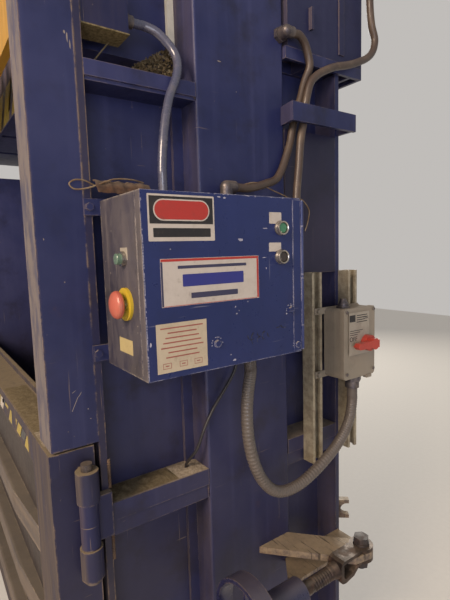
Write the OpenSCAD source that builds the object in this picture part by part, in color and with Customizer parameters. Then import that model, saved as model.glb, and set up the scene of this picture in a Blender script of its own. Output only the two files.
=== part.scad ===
// Vertical baling press for cardboard and film, with its power unit, control box and door locks.
// Millimetres, +Z up. The origin is on the floor under the middle of the frame.
// -Y is the feed side, +X is the side that carries the control box.

/* [Frame] */
// Width over the two side frames
frame_w = 1724; // [1640:4:1800]
// Depth of the frame
frame_d = 914; // [880:2:960]
// Height of the frame under the crown plate
frame_h = 2760; // [2720:10:2840]
// Thickness of a side frame, from its outer face to the chamber
side_t = 94; // [88:1:104]
// Thickness of the chamber wall plates
wall_t = 12; // [8:1:14]
// Thickness of the flat post behind each gate column
post_t = 17; // [12:1:22]
// Distance from the frame's front to the middle column
mid_from_front = 395; // [380:5:410]
// Width of the middle column
mid_w = 290; // [270:5:300]
// Corner radius of the middle column
mid_r = 8; // [4:1:12]
// Height of the skids
skid_h = 152; // [120:4:180]
// Width of a skid's flanges
skid_w = 78; // [60:2:90]
// Thickness of the anchor tabs
tab_t = 12; // [8:1:16]
// Radius of the anchor holes
anchor_r = 9; // [6:0.5:11]
// Distance from the side of the frame to an anchor hole
anchor_out = 45; // [40:1:60]
// Distance between the anchor holes, front to back
anchor_pitch = 700; // [600:10:760]

/* [Side bays] */
// Height of the ledge's top over the floor
ledge_z = 997; // [960:1:1030]
// Height of the ledge's face
ledge_h = 83; // [60:1:100]
// Thickness of the ledge's folded sheet
ledge_t = 8; // [5:1:10]
// Height of the top of the bar under the side window
bar_z = 1986; // [1960:1:2010]
// Height of that bar
bar_h = 42; // [30:1:60]
// Height of the wall plate over the window in a side bay
window_over = 240; // [220:10:380]
// Bottom of the cover plate in the rear bay
cover_z0 = 1501; // [1480:1:1530]
// Top of the cover plate in the rear bay
cover_z1 = 1915; // [1890:1:1930]
// Thickness of the cover plate
cover_t = 8; // [4:1:10]

/* [Gate] */
// Width of a gate column, seen from the front
col_w = 100; // [90:1:110]
// Depth of a gate column, and of the chamber door
col_d = 104; // [100:1:110]
// Height of the feed opening's sill, where the gate columns end
sill_z = 1155; // [1140:1:1170]
// Thickness of the gate frame
gate_t = 20; // [16:1:22]
// Clearance of the gate in its slots
gate_gap = 3; // [2:0.5:4]
// Depth of the slots
slot_d = 30; // [24:1:34]
// Distance from the column's front to the slot
slot_lip = 10; // [8:1:14]
// Height of the gate
gate_h = 900; // [860:5:910]
// Height of the gate's bottom rail
gate_rail = 120; // [90:5:140]
// Width of the gate's side and top rails
gate_stile = 60; // [50:1:70]
// Thickness of the gate's expanded sheet
mesh_t = 4; // [3:0.5:6]
// Holes across the gate
mesh_nx = 14; // [10:1:16]
// Holes up the gate
mesh_nz = 6; // [5:1:7]

/* [Chamber door] */
// Width of the door's edge posts
door_post = 172; // [150:2:184]
// How far the door stands in front of the gate columns
door_proud = 6; // [4:1:10]
// Gap between the door and the frame
door_gap = 4; // [3:0.5:6]
// Thickness of the door's plates
door_skin = 8; // [6:1:10]
// Height of the door's top and bottom rails
door_rail = 75; // [60:1:90]
// Height of the raised lip at the back of the sill
lip_h = 20; // [12:1:26]
// How far the door's front plate lies behind its posts
skin_back = 14; // [8:1:20]
// Height of a rib on the door
rib_h = 68; // [50:2:80]
// How far a rib stands out in front of the door's posts
rib_d = 21; // [12:1:30]
// Distance from the top of the door to the top of the first rib
rib_from_top = 247; // [230:1:260]
// Distance between the ribs
rib_pitch = 230; // [200:2:236]
// Number of ribs
rib_n = 3; // [2:1:3]
// Length of the taper at a rib's end
rib_taper = 250; // [200:10:300]
// Radius of a rib's folds
rib_r = 8; // [4:1:12]
// Length of a tie slot under the sill
tie_l = 226; // [180:2:260]
// Height of a tie slot
tie_h = 16; // [10:1:22]

/* [Hinges] */
// Radius of the knuckles on the doors
knuckle_r = 25; // [22:0.5:27]
// Radius of the knuckles on the frame
knuckle_mid_r = 21; // [20:0.5:23]
// Radius of the hinge pins
pin_r = 12.5; // [10:0.5:14]
// Running clearance of the hinge pins
pin_gap = 0.08; // [0.05:0.01:0.1]
// Height of the lower and upper knuckles
knuckle_h = 71; // [60:1:80]
// Height of the knuckle between them
knuckle_mid_h = 105; // [90:1:120]
// Bottom of the upper hinge over the floor
hinge_z1 = 860; // [840:2:870]
// Bottom of the lower hinge over the floor
hinge_z0 = 260; // [240:2:300]

/* [Door locks] */
// Distance of a lock's pivot from the side of the frame
lock_out = 180; // [176:1:190]
// Height of the lock's screw over the floor
lock_z = 690; // [680:1:700]
// Distance of the rear lock's pivot from the frame's rear face
lock_from_rear = 114; // [108:1:120]
// Radius of the screw
screw_r = 19; // [16:0.5:21]
// Pitch of the screw's thread
screw_pitch = 9; // [8:0.5:12]
// Depth of the thread
thread_d = 2; // [1:0.25:2.5]
// Length of the screw from its pivot
screw_l = 440; // [420:2:470]
// Distance from the pivot to the hand-wheel's sleeve
sleeve_at = 250; // [240:1:254]
// Length of the sleeve
sleeve_l = 145; // [120:1:150]
// Radius of the sleeve
sleeve_r = 40; // [34:1:44]
// Radius of the hand-wheel
wheel_r = 112; // [95:1:118]
// Width of the hand-wheel's rim
wheel_w = 44; // [30:1:50]
// Thickness of the hand-wheel's rim
rim_t = 12; // [8:1:14]
// Thickness of the bracket plate between the fork's ears
bracket_t = 20; // [16:1:22]
// Width of the bracket plate
bracket_w = 94; // [80:1:100]
// Clear height between the bracket plate and the plate below it
low_plate_drop = 63; // [56:1:70]
// Width of the lower plate
low_plate_w = 90; // [70:2:96]
// Thickness of the lower plate
low_plate_t = 10; // [6:1:12]
// Thickness of the fork's ears
ear_t = 10; // [8:1:14]
// Radius of the fork's ears
ear_r = 34; // [30:1:36]
// Radius of the lock's pivot bolt
bolt_r = 14; // [12:0.5:16]

/* [Platen] */
// Height of the platen's face at the top of its stroke
platen_z = 2052; // [2050:1:2060]
// Height of the platen
platen_h = 230; // [200:5:240]
// Clearance between the platen and the chamber walls
platen_gap = 13; // [10:1:15]
// Thickness of the platen's face plate
platen_t = 25; // [20:1:30]
// Thickness of the platen's ribs
platen_rib = 12; // [8:1:16]
// Number of tie grooves in the platen's face
groove_n = 5; // [4:1:6]
// Width of a tie groove
groove_w = 32; // [20:2:40]
// Depth of a tie groove
groove_d = 12; // [8:1:15]

/* [Cylinder] */
// Outer radius of the barrel
barrel_r = 88; // [86:1:92]
// Radius of the barrel's bore
bore_r = 76; // [72:1:78]
// Radius of the rod
rod_r = 50; // [44:1:56]
// Length of the barrel
barrel_l = 1480; // [1460:10:1520]
// Height of the barrel's lower end
barrel_z = 2240; // [2235:1:2260]
// Running clearance of the rod and the piston
rod_gap = 0.08; // [0.05:0.01:0.1]
// Length of the piston
piston_l = 60; // [50:1:70]
// Height of the crown beams
crown_h = 200; // [160:5:220]
// Thickness of the crown plate
crown_t = 25; // [20:1:30]
// Width of the barrel's mounting flange
flange_w = 280; // [260:5:290]
// Thickness of that flange
flange_t = 40; // [30:1:50]

/* [Control box] */
// Distance from the frame's front to the box
box_from_front = 137; // [134:1:140]
// Width of the box
box_w = 398; // [390:1:406]
// Bottom of the box over the floor
box_z = 1333; // [1320:1:1345]
// Height of the box
box_h = 358; // [350:1:362]
// Depth of the box with its door
box_d = 204; // [196:1:210]
// Distance from the frame to the back of the box
box_off = 6; // [4:1:8]
// Thickness of the box's sheet
box_t = 3; // [2:0.5:4]
// Thickness of the box's door
box_door_t = 22; // [18:1:26]
// Radius of a push button
button_r = 11; // [9:0.5:12]
// Radius of a push button's bezel
bezel_r = 15; // [14:0.5:17]
// Radius of the stop button's head
stop_r = 28; // [24:1:30]
// Radius of the stop button's collar
collar_r = 33; // [31:1:36]

/* [Disconnect] */
// Side of the square strut channels
strut_w = 41.3; // [38:0.1:43]
// Sheet thickness of the struts
strut_t = 2.7; // [2:0.1:3]
// Bottom of the struts over the floor
strut_z = 915; // [914:1:925]
// Length of the struts
strut_l = 589; // [587:1:600]
// Width of the disconnect's case
disc_w = 138; // [130:1:144]
// Height of the disconnect's case
disc_h = 210; // [200:1:216]
// Bottom of the disconnect's case over the floor
disc_z = 1186; // [1180:1:1192]
// Depth of the disconnect's case
disc_d = 64; // [60:1:68]
// Depth of the disconnect's cover
disc_cover = 14; // [10:1:16]
// Corner radius of the disconnect
disc_r = 10; // [6:1:14]

/* [Power unit] */
// How far the tank's floor lies below the top of the frame
tank_drop = 625; // [610:1:627]
// Height of the oil tank
tank_h = 440; // [420:5:460]
// How far the tank stands behind the frame
tank_back = 96; // [90:1:104]
// How far the tank stands out at the side
tank_side = 10; // [8:1:14]
// Length of the tank across the back
tank_l = 572; // [540:4:620]
// Height of the shelf under the tank
shelf_h = 33; // [28:1:33]
// Radius of the motor
motor_r = 95; // [85:1:105]
// Length of the motor
motor_l = 260; // [240:5:280]

/* [Hidden] */
$fn = 40;
steel = [0.16, 0.19, 0.34];
worn = [0.36, 0.34, 0.35];
dark = [0.10, 0.10, 0.12];
yellow = [0.83, 0.66, 0.10];
zinc = [0.66, 0.68, 0.70];
box_blue = [0.20, 0.28, 0.47];
rubber = [0.12, 0.12, 0.13];
grey = [0.45, 0.46, 0.46];
red = [0.72, 0.13, 0.12];

hw = frame_w / 2;
front = -frame_d / 2;
rear = frame_d / 2;
inner = hw - side_t;
skin_x = inner + wall_t;
post_y0 = front + col_d;
post_y1 = post_y0 + post_t;
mid_y0 = front + mid_from_front;
mid_y1 = mid_y0 + mid_w;
rear_y0 = rear - post_t;
col_x = hw - col_w;
tank_z = frame_h - tank_drop;
window_top = frame_h - window_over;
cross_pitch = 300;
shelf_z1 = tank_z;
shelf_z0 = tank_z - shelf_h;

slot_y0 = front + slot_lip;
slot_y1 = slot_y0 + gate_t + 2 * gate_gap;
gate_y0 = slot_y0 + gate_gap;
gate_y1 = gate_y0 + gate_t;
gate_x = col_x + slot_d - 2 * gate_gap;
gate_drop = 900;
gate_z = sill_z + 10 + gate_drop;

door_y0 = front - door_proud;
door_y1 = post_y0 - door_gap;
door_z0 = skid_h + 20;
door_z1 = sill_z - 5;
door_in = hw - door_post;
door_skin_y = door_y0 + skin_back;
rib_y = door_y0 - rib_d;
tie_pitch = 426;
tie_shift = 163;
tie_z = door_z1 - 99;
hinge_x = hw + knuckle_r;
hinge_y = post_y0 - 39;
rear_hinge_r = 16;
rear_pin_r = 9;
rear_hinge_z = [skid_h + 104, skid_h + 640];
rear_door_t = 34;
rear_door_x = hw - 62;
wall_z = skid_h + 833;
wall_rib_pitch = 320;
rear_hinge_x = rear_door_x + 30;
rear_hinge_y = rear + 33;

lock_x = hw + lock_out;
lock_y = rear - lock_from_rear;
screw_z = lock_z - 12;
ear_gap = 0.5;
yoke_y = bracket_w + 8;
yoke_t = 12;
keeper_t = 22;
keeper_y = sleeve_at - 3;
keeper_gap = 1.5;
keeper_h = screw_r + keeper_gap + 12;
left_lock_y = door_y0 + 26 + keeper_y;
lock_swing = 230;
fork_w = 48;
neck_l = 16;
thread_n = floor((sleeve_at - 42 - yoke_y - yoke_t - neck_l) / screw_pitch);

beam_w = 45;
cyl_y = (mid_y0 + mid_y1) / 2;
crown_z0 = frame_h - crown_h;
flange_z = frame_h + crown_t;
barrel_top = barrel_z + barrel_l;
gland_h = 70;
cap_h = 40;
platen_x = inner - platen_gap;
platen_y0 = post_y1 - 4;
platen_y1 = rear - 25;
boss_r = 75;
boss_h = 103;
rod_z0 = platen_z + platen_t + boss_h;
piston_top = barrel_top - cap_h - 20;

box_x0 = hw + box_off;
box_x1 = box_x0 + box_d;
box_y0 = front + box_from_front;
box_y1 = box_y0 + box_w;
box_rim = box_x1 - box_door_t;
pin_x = box_x1 + 2;
pin_y = box_y1 + 4;
button_y = box_y1 - 62;
green_z = box_z + 290;
black_z = box_z + 226;
side_button_x = box_x0 + 117;
side_button_z = box_z + 233;
stop_x = box_x0 + 120;
stop_z = box_z + 143;
push = 4;
button_gap = 0.1;

disc_x0 = hw + strut_w;
disc_x1 = disc_x0 + disc_d;
disc_x2 = disc_x1 + disc_cover;
disc_y0 = mid_y1 + 114;
strut_y = [mid_y1 + 64, rear - 3];
lever_y = disc_y0 + 93;
lever_z = disc_z + 104;
lever_r = 24;

tank_x0 = skin_x + 6;
tank_x1 = hw + tank_side;
tank_y0 = mid_y1 + 8;
tank_y1 = rear + tank_back;
tank_x2 = tank_x1 - tank_l;
power_t = 10;
power_z = frame_h + power_t;
hose_r = 11;
motor_z = power_z + motor_r + 12;

// Routes of the conduits, the hoses and the cable, point by point
switch_route = [[905, -185, 1715], [905, -185, 1738], [905, -185, 1761], [903, -181, 1802],
    [898, -173, 1845], [892, -162, 1890], [884, -146, 1935], [877, -126, 1974], [872, -116, 2004],
    [862, -113, 2034], [852, -124, 2060], [839, -148, 2088], [828, -174, 2100],
    [828, -190, 2100], [828, -206, 2100]];
motor_route = [[674, 335, 3000], [696, 335, 3000], [718, 335, 3000], [760, 344, 2993],
    [805, 380, 2955], [850, 450, 2850], [880, 530, 2700], [896, 560, 2540], [899, 560, 2420],
    [899, 558, 2330], [899, 567, 2263], [899, 584, 2215], [899, 558, 2167], [901, 473, 2125],
    [904, 378, 2094], [905, 302, 2050], [903, 278, 1999], [899, 270, 1938], [899, 256, 1879],
    [899, 248, 1807], [899, 239, 1738], [904, 226, 1650], [918, 190, 1560], [936, 164, 1520],
    [948, 144, 1503], [950, 129, 1500], [950, 115, 1500], [950, 100, 1500]];
valve_route = [[892, 236, 2160], [892, 249, 2160], [892, 262, 2160], [889, 285, 2146],
    [886, 302, 2118], [885, 308, 2088], [876, 297, 2051], [874, 282, 2003], [874, 255, 1936],
    [874, 235, 1864], [880, 188, 1778], [892, 130, 1752], [898, 80, 1739], [900, 50, 1735],
    [900, 35, 1735], [900, 20, 1735]];
supply_route = [[955, 409, 1150], [955, 409, 1128], [955, 409, 1106], [955, 400, 1060],
    [955, 377, 1019], [955, 342, 985], [955, 300, 958], [955, 243, 930], [955, 183, 911],
    [955, 126, 910], [955, 80, 930], [955, 42, 975], [955, 16, 1035], [955, 2, 1105],
    [955, 0, 1170], [955, 6, 1225], [955, 14, 1265], [955, 14, 1285], [955, 14, 1305]];
sensor_route = [[880, 30, 1318], [880, 30, 1302], [880, 30, 1286], [878, 16, 1248],
    [874, -14, 1205], [870, -50, 1157], [866, -76, 1110], [856, -92, 1060], [838, -104, 1030],
    [820, -108, 1005], [818, -109, 970]];

// A box between two corners
module slab(x0, x1, y0, y1, z0, z1)
    translate([x0, y0, z0]) cube([x1 - x0, y1 - y0, z1 - z0]);

// The same thing on the right and on the left
module both_sides() {
    children();
    mirror([1, 0, 0]) children();
}

// A round bar along X
module round_x(r, x0, x1) translate([x0, 0, 0]) rotate([0, 90, 0]) cylinder(r = r, h = x1 - x0);

// A round bar along Y
module round_y(r, y0, y1) translate([0, y0, 0]) rotate([-90, 0, 0]) cylinder(r = r, h = y1 - y0);

// A rectangle with round corners
module round_rect(w, h, r) {
    translate([r, 0]) square([w - 2 * r, h]);
    translate([0, r]) square([w, h - 2 * r]);
    for (x = [r, w - r], y = [r, h - r])
        translate([x, y]) circle(r);
}

// A hexagonal head or nut
module hex(r, h) linear_extrude(h) polygon([for (i = [0:5]) r * [cos(60 * i), sin(60 * i)]]);

// A plate in the YZ plane with round corners, from x0 to x1
module plate_yz(x0, x1, y0, z0, w, h, r)
    translate([x0, y0, z0]) rotate([90, 0, 90]) linear_extrude(x1 - x0) round_rect(w, h, r);

// A smooth curve through a route's points, with n steps between two of them
function blend(a, b, c, d, t) = 0.5 * (2 * b + (c - a) * t + (2 * a - 5 * b + 4 * c - d) * t * t
    + (3 * b - a - 3 * c + d) * t * t * t);
function curve(p, n) = concat([for (i = [0:len(p) - 2], k = [0:n - 1])
    blend(p[max(i - 1, 0)], p[i], p[i + 1], p[min(i + 2, len(p) - 1)], k / n)],
    [p[len(p) - 1]]);
function unit(v) = v / norm(v);
function along(p, i) = unit(p[min(i + 1, len(p) - 1)] - p[max(i - 1, 0)]);
function across(u, d) = unit(u - (u * d) * d);

// A round cord along a route: the section is carried along it without a twist
module cord(route, r, steps = 2, sides = 10) {
    p = curve(route, steps);
    normals = [for (i = 0, u = across([1, 0.1, 0], along(p, 0)); i < len(p);
        i = i + 1, u = across(u, along(p, min(i, len(p) - 1)))) u];
    rings = [for (i = [0:len(p) - 1], k = [0:sides - 1])
        let (u = normals[i], v = cross(along(p, i), u), a = 360 * k / sides)
        p[i] + r * (cos(a) * u + sin(a) * v)];
    walls = [for (i = [0:len(p) - 2], k = [0:sides - 1])
        let (a = i * sides + k, b = i * sides + (k + 1) % sides)
        [a, a + sides, b + sides, b]];
    first = [for (k = [0:sides - 1]) k];
    last = [for (k = [sides - 1:-1:0]) (len(p) - 1) * sides + k];
    polyhedron(rings, concat(walls, [first], [last]), convexity = 6);
}

// An I-section skid along the depth, with its middle at x
module skid(x) {
    slab(x - skid_w / 2, x + skid_w / 2, front, rear, 0, 10);
    slab(x - skid_w / 2, x + skid_w / 2, front, rear, skid_h - 10, skid_h);
    slab(x - 4, x + 4, front, rear, 0, skid_h);
}

module base_skids() color(dark) {
    for (x = [skid_w / 2 - hw, 0, hw - skid_w / 2])
        skid(x);
    both_sides() for (y = [-anchor_pitch / 2, anchor_pitch / 2])
        difference() {
            slab(hw - 20, hw + anchor_out + 28, y - 40, y + 40, 0, tab_t);
            translate([hw + anchor_out, y, -1]) cylinder(r = anchor_r, h = tab_t + 2);
        }
}

// A square tube between the webs of two skids
module base_tube(x0, x1, y) difference() {
    slab(x0, x1, y - 30, y + 30, skid_h - 70, skid_h - 10);
    slab(x0 - 1, x1 + 1, y - 26, y + 26, skid_h - 66, skid_h - 14);
}

module base_cross_members() color(dark) both_sides()
    for (y = [-cross_pitch, 0, cross_pitch])
        base_tube(4, hw - skid_w / 2 - 4, y);

module chamber_floor() color(worn) {
    pitch = 2 * inner / groove_n;
    slab(-inner, inner, post_y0, rear, skid_h, skid_h + 12);
    for (i = [0:groove_n - 1])
        slab(-inner + i * pitch + groove_w / 2, -inner + (i + 1) * pitch - groove_w / 2,
            post_y0, rear, skid_h + 12, skid_h + 12 + groove_d);
}

module front_posts() color(steel) both_sides()
    slab(skin_x, hw, post_y0, post_y1, skid_h, frame_h);

module mid_columns() color(steel) both_sides()
    translate([skin_x, mid_y0, skid_h]) linear_extrude(frame_h - skid_h) difference() {
        union() {
            square([hw - skin_x - mid_r, mid_w]);
            round_rect(hw - skin_x, mid_w, mid_r);
        }
        translate([10, 10]) square([hw - skin_x - 20, mid_w - 20]);
    }

module rear_posts() color(steel) both_sides()
    slab(skin_x, hw, rear_y0, rear, skid_h, shelf_z0);

// A folded sheet across a side bay, with its top at z
module side_member(y0, y1, z, h, t, step = 0) {
    slab(skin_x, hw, y0, y1, z - t, z);
    slab(hw - t, hw, y0, y1, z - h + step, z);
    slab(hw - 2 * t + 3, hw - t + 3, y0, y1, z - h, z - h + step + 1);
    slab(skin_x, hw - t, y0, y1, z - h, z - h + t);
}

module side_members() color(steel) {
    both_sides() difference() {
        side_member(post_y1, mid_y0, ledge_z, ledge_h, ledge_t, 39);
        translate([820, -108, ledge_z - ledge_h / 2]) cylinder(r = 9, h = ledge_h);
    }
    both_sides() side_member(mid_y1, rear_y0, ledge_z, ledge_h, ledge_t, 39);
    both_sides() side_member(post_y1, mid_y0, bar_z, bar_h, ledge_t, ledge_t);
    both_sides() slab(skin_x, skin_x + 10, mid_y0 - 30, mid_y0, skid_h, ledge_z - ledge_h);
    both_sides() slab(skin_x, skin_x + 10, mid_y0 - 30, mid_y0, ledge_z, bar_z - bar_h);
}

module side_skins() color(steel) both_sides() difference() {
    slab(inner, skin_x, post_y0, rear, skid_h, frame_h);
    slab(inner - 1, skin_x + 1, post_y1, mid_y0, bar_z, window_top);
}

module gate_columns() color(steel) both_sides() difference() {
    slab(col_x, hw, front, post_y0, sill_z, frame_h);
    slab(col_x - 1, col_x + slot_d, slot_y0, slot_y1, sill_z - 1, frame_h + 1);
    slab(col_x + slot_d + 8, hw - 8, front + 8, post_y0 - 8, sill_z - 1, frame_h + 1);
    slab(col_x + 8, hw - 8, slot_y1 + 8, post_y0 - 8, sill_z - 1, frame_h + 1);
}

module rear_cover() color(steel)
    slab(hw - cover_t, hw, mid_y1, rear_y0, cover_z0, cover_z1);

module rear_wall() color(steel) {
    slab(-inner, inner, rear - 12, rear, wall_z, frame_h);
    for (i = [0:2])
        translate([0, 0, wall_z + 175 + i * wall_rib_pitch])
            slab(-inner + 20, inner - 20, rear, rear + 40, 0, 70);
}

module front_shroud() color(steel) {
    shroud_t = 8;
    lip = 12;
    slab(-inner, inner, post_y0, post_y0 + shroud_t, platen_z - lip, crown_z0);
    slab(-inner, inner, post_y0 + shroud_t, post_y1 - 6, platen_z - lip, platen_z);
}

module crown_beams() color(steel) difference() {
    union() {
        for (y = [mid_y0, mid_y1 - beam_w]) {
            slab(-inner, inner, y, y + beam_w, crown_z0, crown_z0 + 14);
            slab(-inner, inner, y, y + beam_w, frame_h - 14, frame_h);
            slab(-inner, inner, y + beam_w / 2 - 6, y + beam_w / 2 + 6, crown_z0, frame_h);
        }
        slab(-220, 220, mid_y0, mid_y1, frame_h, flange_z);
    }
    translate([0, cyl_y, crown_z0]) cylinder(r = barrel_r, h = crown_h + crown_t + 1);
}

module cylinder_barrel() color(dark) translate([0, cyl_y, 0]) difference() {
    union() {
        translate([0, 0, barrel_z]) cylinder(r = barrel_r, h = barrel_l);
        translate([0, 0, barrel_z - 40]) cylinder(r = barrel_r + 7, h = gland_h);
        translate([0, 0, flange_z]) cylinder(r = flange_w / 2, h = flange_t);
        translate([0, 0, barrel_top - 70]) cylinder(r = barrel_r + 4, h = 70);
        translate([0, 0, barrel_top]) cylinder(r = 40, h = 18);
        for (z = [barrel_z + 74, barrel_top - 55])
            translate([0, 0, z]) round_y(18, 0, barrel_r + 26);
    }
    translate([0, 0, barrel_z + gland_h - 40]) cylinder(r = bore_r, h = barrel_l - gland_h - cap_h + 40);
    translate([0, 0, barrel_z - 41]) cylinder(r = rod_r + rod_gap, h = gland_h + 2);
}

module cylinder_rod() color(zinc) translate([0, cyl_y, 0]) {
    translate([0, 0, rod_z0]) cylinder(r = rod_r, h = piston_top - rod_z0);
    translate([0, 0, rod_z0 - 20]) cylinder(r = rod_r + 16, h = 20);
    translate([0, 0, piston_top - piston_l]) cylinder(r = bore_r - rod_gap, h = piston_l);
}

module platen() color(steel) difference() {
    z1 = platen_z + platen_t;
    z2 = platen_z + platen_h;
    union() {
        slab(-platen_x, platen_x, platen_y0, platen_y1, platen_z, z1);
        for (y = [platen_y0, cyl_y - 136, cyl_y + 124, platen_y1 - platen_rib])
            slab(-platen_x, platen_x, y, y + platen_rib, z1, z2);
        both_sides() for (x = [200, 470, platen_x - platen_rib])
            slab(x, x + platen_rib, platen_y0, platen_y1, z1, z2);
        translate([0, cyl_y, z1]) cylinder(r = boss_r, h = boss_h - 20);
    }
    pitch = 2 * inner / groove_n;
    for (i = [0:groove_n - 2])
        slab(-inner + (i + 1) * pitch - groove_w / 2, -inner + (i + 1) * pitch + groove_w / 2,
            platen_y0 - 1, platen_y1 + 1, platen_z - 1, platen_z + groove_d);
}

module platen_shoes() color(zinc) both_sides()
    for (y = [platen_y0 + 260, platen_y1 - 150])
        slab(platen_x, inner - 1, y, y + 120, platen_z + 20, platen_z + platen_h - 20);

// The gate's expanded sheet: a plate with rows of long hexagonal holes
module mesh_sheet(w, h) {
    px = w / mesh_nx;
    pz = h / mesh_nz;
    rotate([90, 0, 0]) linear_extrude(mesh_t) difference() {
        translate([-w / 2, 0]) square([w, h]);
        for (i = [0:mesh_nx - 1], k = [0:mesh_nz - 1])
            translate([(i - mesh_nx / 2 + 0.5) * px, (k + 0.5) * pz])
                polygon([[-px * 0.4, 0], [-px * 0.2, -pz * 0.4], [px * 0.2, -pz * 0.4],
                    [px * 0.4, 0], [px * 0.2, pz * 0.4], [-px * 0.2, pz * 0.4]]);
    }
}

module feed_gate() color(yellow) {
    z1 = gate_z + gate_h;
    slab(-gate_x, gate_x, gate_y0, gate_y1, gate_z, gate_z + gate_rail);
    slab(-gate_x, gate_x, gate_y0, gate_y1, z1 - gate_stile, z1);
    both_sides() slab(gate_x - gate_stile - slot_d, gate_x, gate_y0, gate_y1, gate_z, z1);
    both_sides() for (z = [gate_z + 20, gate_z + gate_h / 2, min(frame_h, z1) - 90])
        slab(gate_x - 18, gate_x + 2 * gate_gap - 0.3, slot_y0 + 0.3, slot_y1 - 0.3, z, z + 70);
    translate([0, (gate_y0 + gate_y1 + mesh_t) / 2, gate_z + gate_rail])
        mesh_sheet(2 * (gate_x - gate_stile - slot_d), gate_h - gate_rail - gate_stile);
}

module gate_handle() color(dark) {
    both_sides() translate([150, 0, gate_z + gate_rail / 2]) round_y(8, gate_y0 - 60, gate_y0);
    translate([0, gate_y0 - 60, gate_z + gate_rail / 2]) round_x(11, -165, 165);
}

// A square frame tube of the door, open inside, between two corners
module door_tube(x0, x1, z0, z1, along_x) difference() {
    e = along_x ? 1 : -door_skin;
    f = along_x ? -door_skin : 1;
    slab(x0, x1, door_y0, door_y1 - door_skin, z0, z1);
    slab(x0 - e, x1 + e, door_y0 + door_skin, door_y1 - 2 * door_skin, z0 - f, z1 + f);
}

module door_frame() color(worn) {
    both_sides() door_tube(door_in, hw, door_z0, door_z1, false);
    door_tube(-door_in, door_in, door_z1 - door_rail, door_z1 - door_skin, true);
    door_tube(-door_in, door_in, door_z0, door_z0 + door_rail, true);
    both_sides() slab(door_in, hw, door_y0, door_y1 - door_skin, door_z1 - door_skin, door_z1);
    slab(-door_in, door_in, door_y0, door_y1, door_z1 - door_skin, door_z1);
    slab(30 - inner, inner - 30, door_y1 - 28, door_y1 - 16, door_z1, door_z1 + lip_h);
    for (z = [hinge_z0, hinge_z1])
        door_knuckle(z);
}

// The two knuckles of one door hinge, welded to the door's edge
module door_knuckle(z) difference() {
    union() for (k = [z, z + knuckle_h + knuckle_mid_h + 2]) {
        translate([hinge_x, hinge_y, k]) cylinder(r = knuckle_r, h = knuckle_h);
        slab(hw - 2, hinge_x, hinge_y - 12, hinge_y + 12, k, k + knuckle_h);
    }
    translate([hinge_x, hinge_y, z - 1])
        cylinder(r = pin_r + pin_gap, h = 2 * knuckle_h + knuckle_mid_h + 4);
}

module door_outer_skin() color(worn) difference() {
    slab(-door_in, door_in, door_skin_y, door_skin_y + door_skin, door_z0 + door_rail,
        door_z1 - door_rail);
    for (i = [-1:1])
        slab(i * tie_pitch - tie_shift - tie_l / 2, i * tie_pitch - tie_shift + tie_l / 2,
            door_skin_y - 1, door_skin_y + door_skin + 1, tie_z - tie_h / 2, tie_z + tie_h / 2);
}

module door_inner_skin() color(worn)
    slab(door_gap - inner, inner - door_gap, door_y1 - door_skin, door_y1, door_z0,
        door_z1 - door_skin);

// A rib's bar with rounded folds, over the whole width between the posts
module rib_bar(z) translate([-door_in, door_skin_y, z]) rotate([90, 0, 90])
    linear_extrude(2 * door_in) {
        translate([rib_y - door_skin_y + rib_r, 0]) square([door_skin_y - rib_y - rib_r, rib_h]);
        translate([rib_y - door_skin_y, rib_r]) square([rib_r, rib_h - 2 * rib_r]);
        for (k = [rib_r, rib_h - rib_r])
            translate([rib_y - door_skin_y + rib_r, k]) circle(rib_r, $fn = 24);
    }

// One rib on the door: a folded channel whose ends taper down to the posts
module door_rib(z) intersection() {
    rib_bar(z);
    translate([0, 0, z]) linear_extrude(rib_h)
        polygon([[-door_in, door_skin_y], [-door_in, door_y0], [rib_taper - door_in, rib_y],
            [door_in - rib_taper, rib_y], [door_in, door_y0], [door_in, door_skin_y]]);
}

module door_ribs() color(worn)
    for (i = [0:rib_n - 1])
        door_rib(door_z1 - rib_from_top - rib_h - i * rib_pitch);

module frame_knuckles() color(worn) {
    for (z = rear_hinge_z, k = [z - 42, z + 61]) difference() {
        union() {
            translate([-rear_hinge_x, rear_hinge_y, k]) cylinder(r = rear_hinge_r, h = 41);
            slab(-rear_hinge_x - 12, -rear_hinge_x + 12, rear, rear_hinge_y, k, k + 41);
        }
        translate([-rear_hinge_x, rear_hinge_y, k - 1]) cylinder(r = rear_pin_r, h = 43);
    }
    for (z = [hinge_z0, hinge_z1]) difference() {
        union() {
            translate([hinge_x, hinge_y, z + knuckle_h + 1])
                cylinder(r = knuckle_mid_r, h = knuckle_mid_h);
            slab(hw, hw + 18, hinge_y, post_y1, z + knuckle_h + 1,
                z + knuckle_h + 1 + knuckle_mid_h);
        }
        translate([hinge_x, hinge_y, z]) cylinder(r = pin_r, h = 2 * knuckle_h + knuckle_mid_h);
    }
}

module hinge_pins() color(worn) {
    for (z = [hinge_z0, hinge_z1])
        translate([hinge_x, hinge_y, 0]) {
            translate([0, 0, z - 14]) cylinder(r = pin_r, h = 2 * knuckle_h + knuckle_mid_h + 32);
            translate([0, 0, z - 10]) cylinder(r = pin_r + 6, h = 9);
        }
    for (z = rear_hinge_z)
        translate([-rear_hinge_x, rear_hinge_y, z - 46]) cylinder(r = rear_pin_r, h = 152);
}

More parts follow.
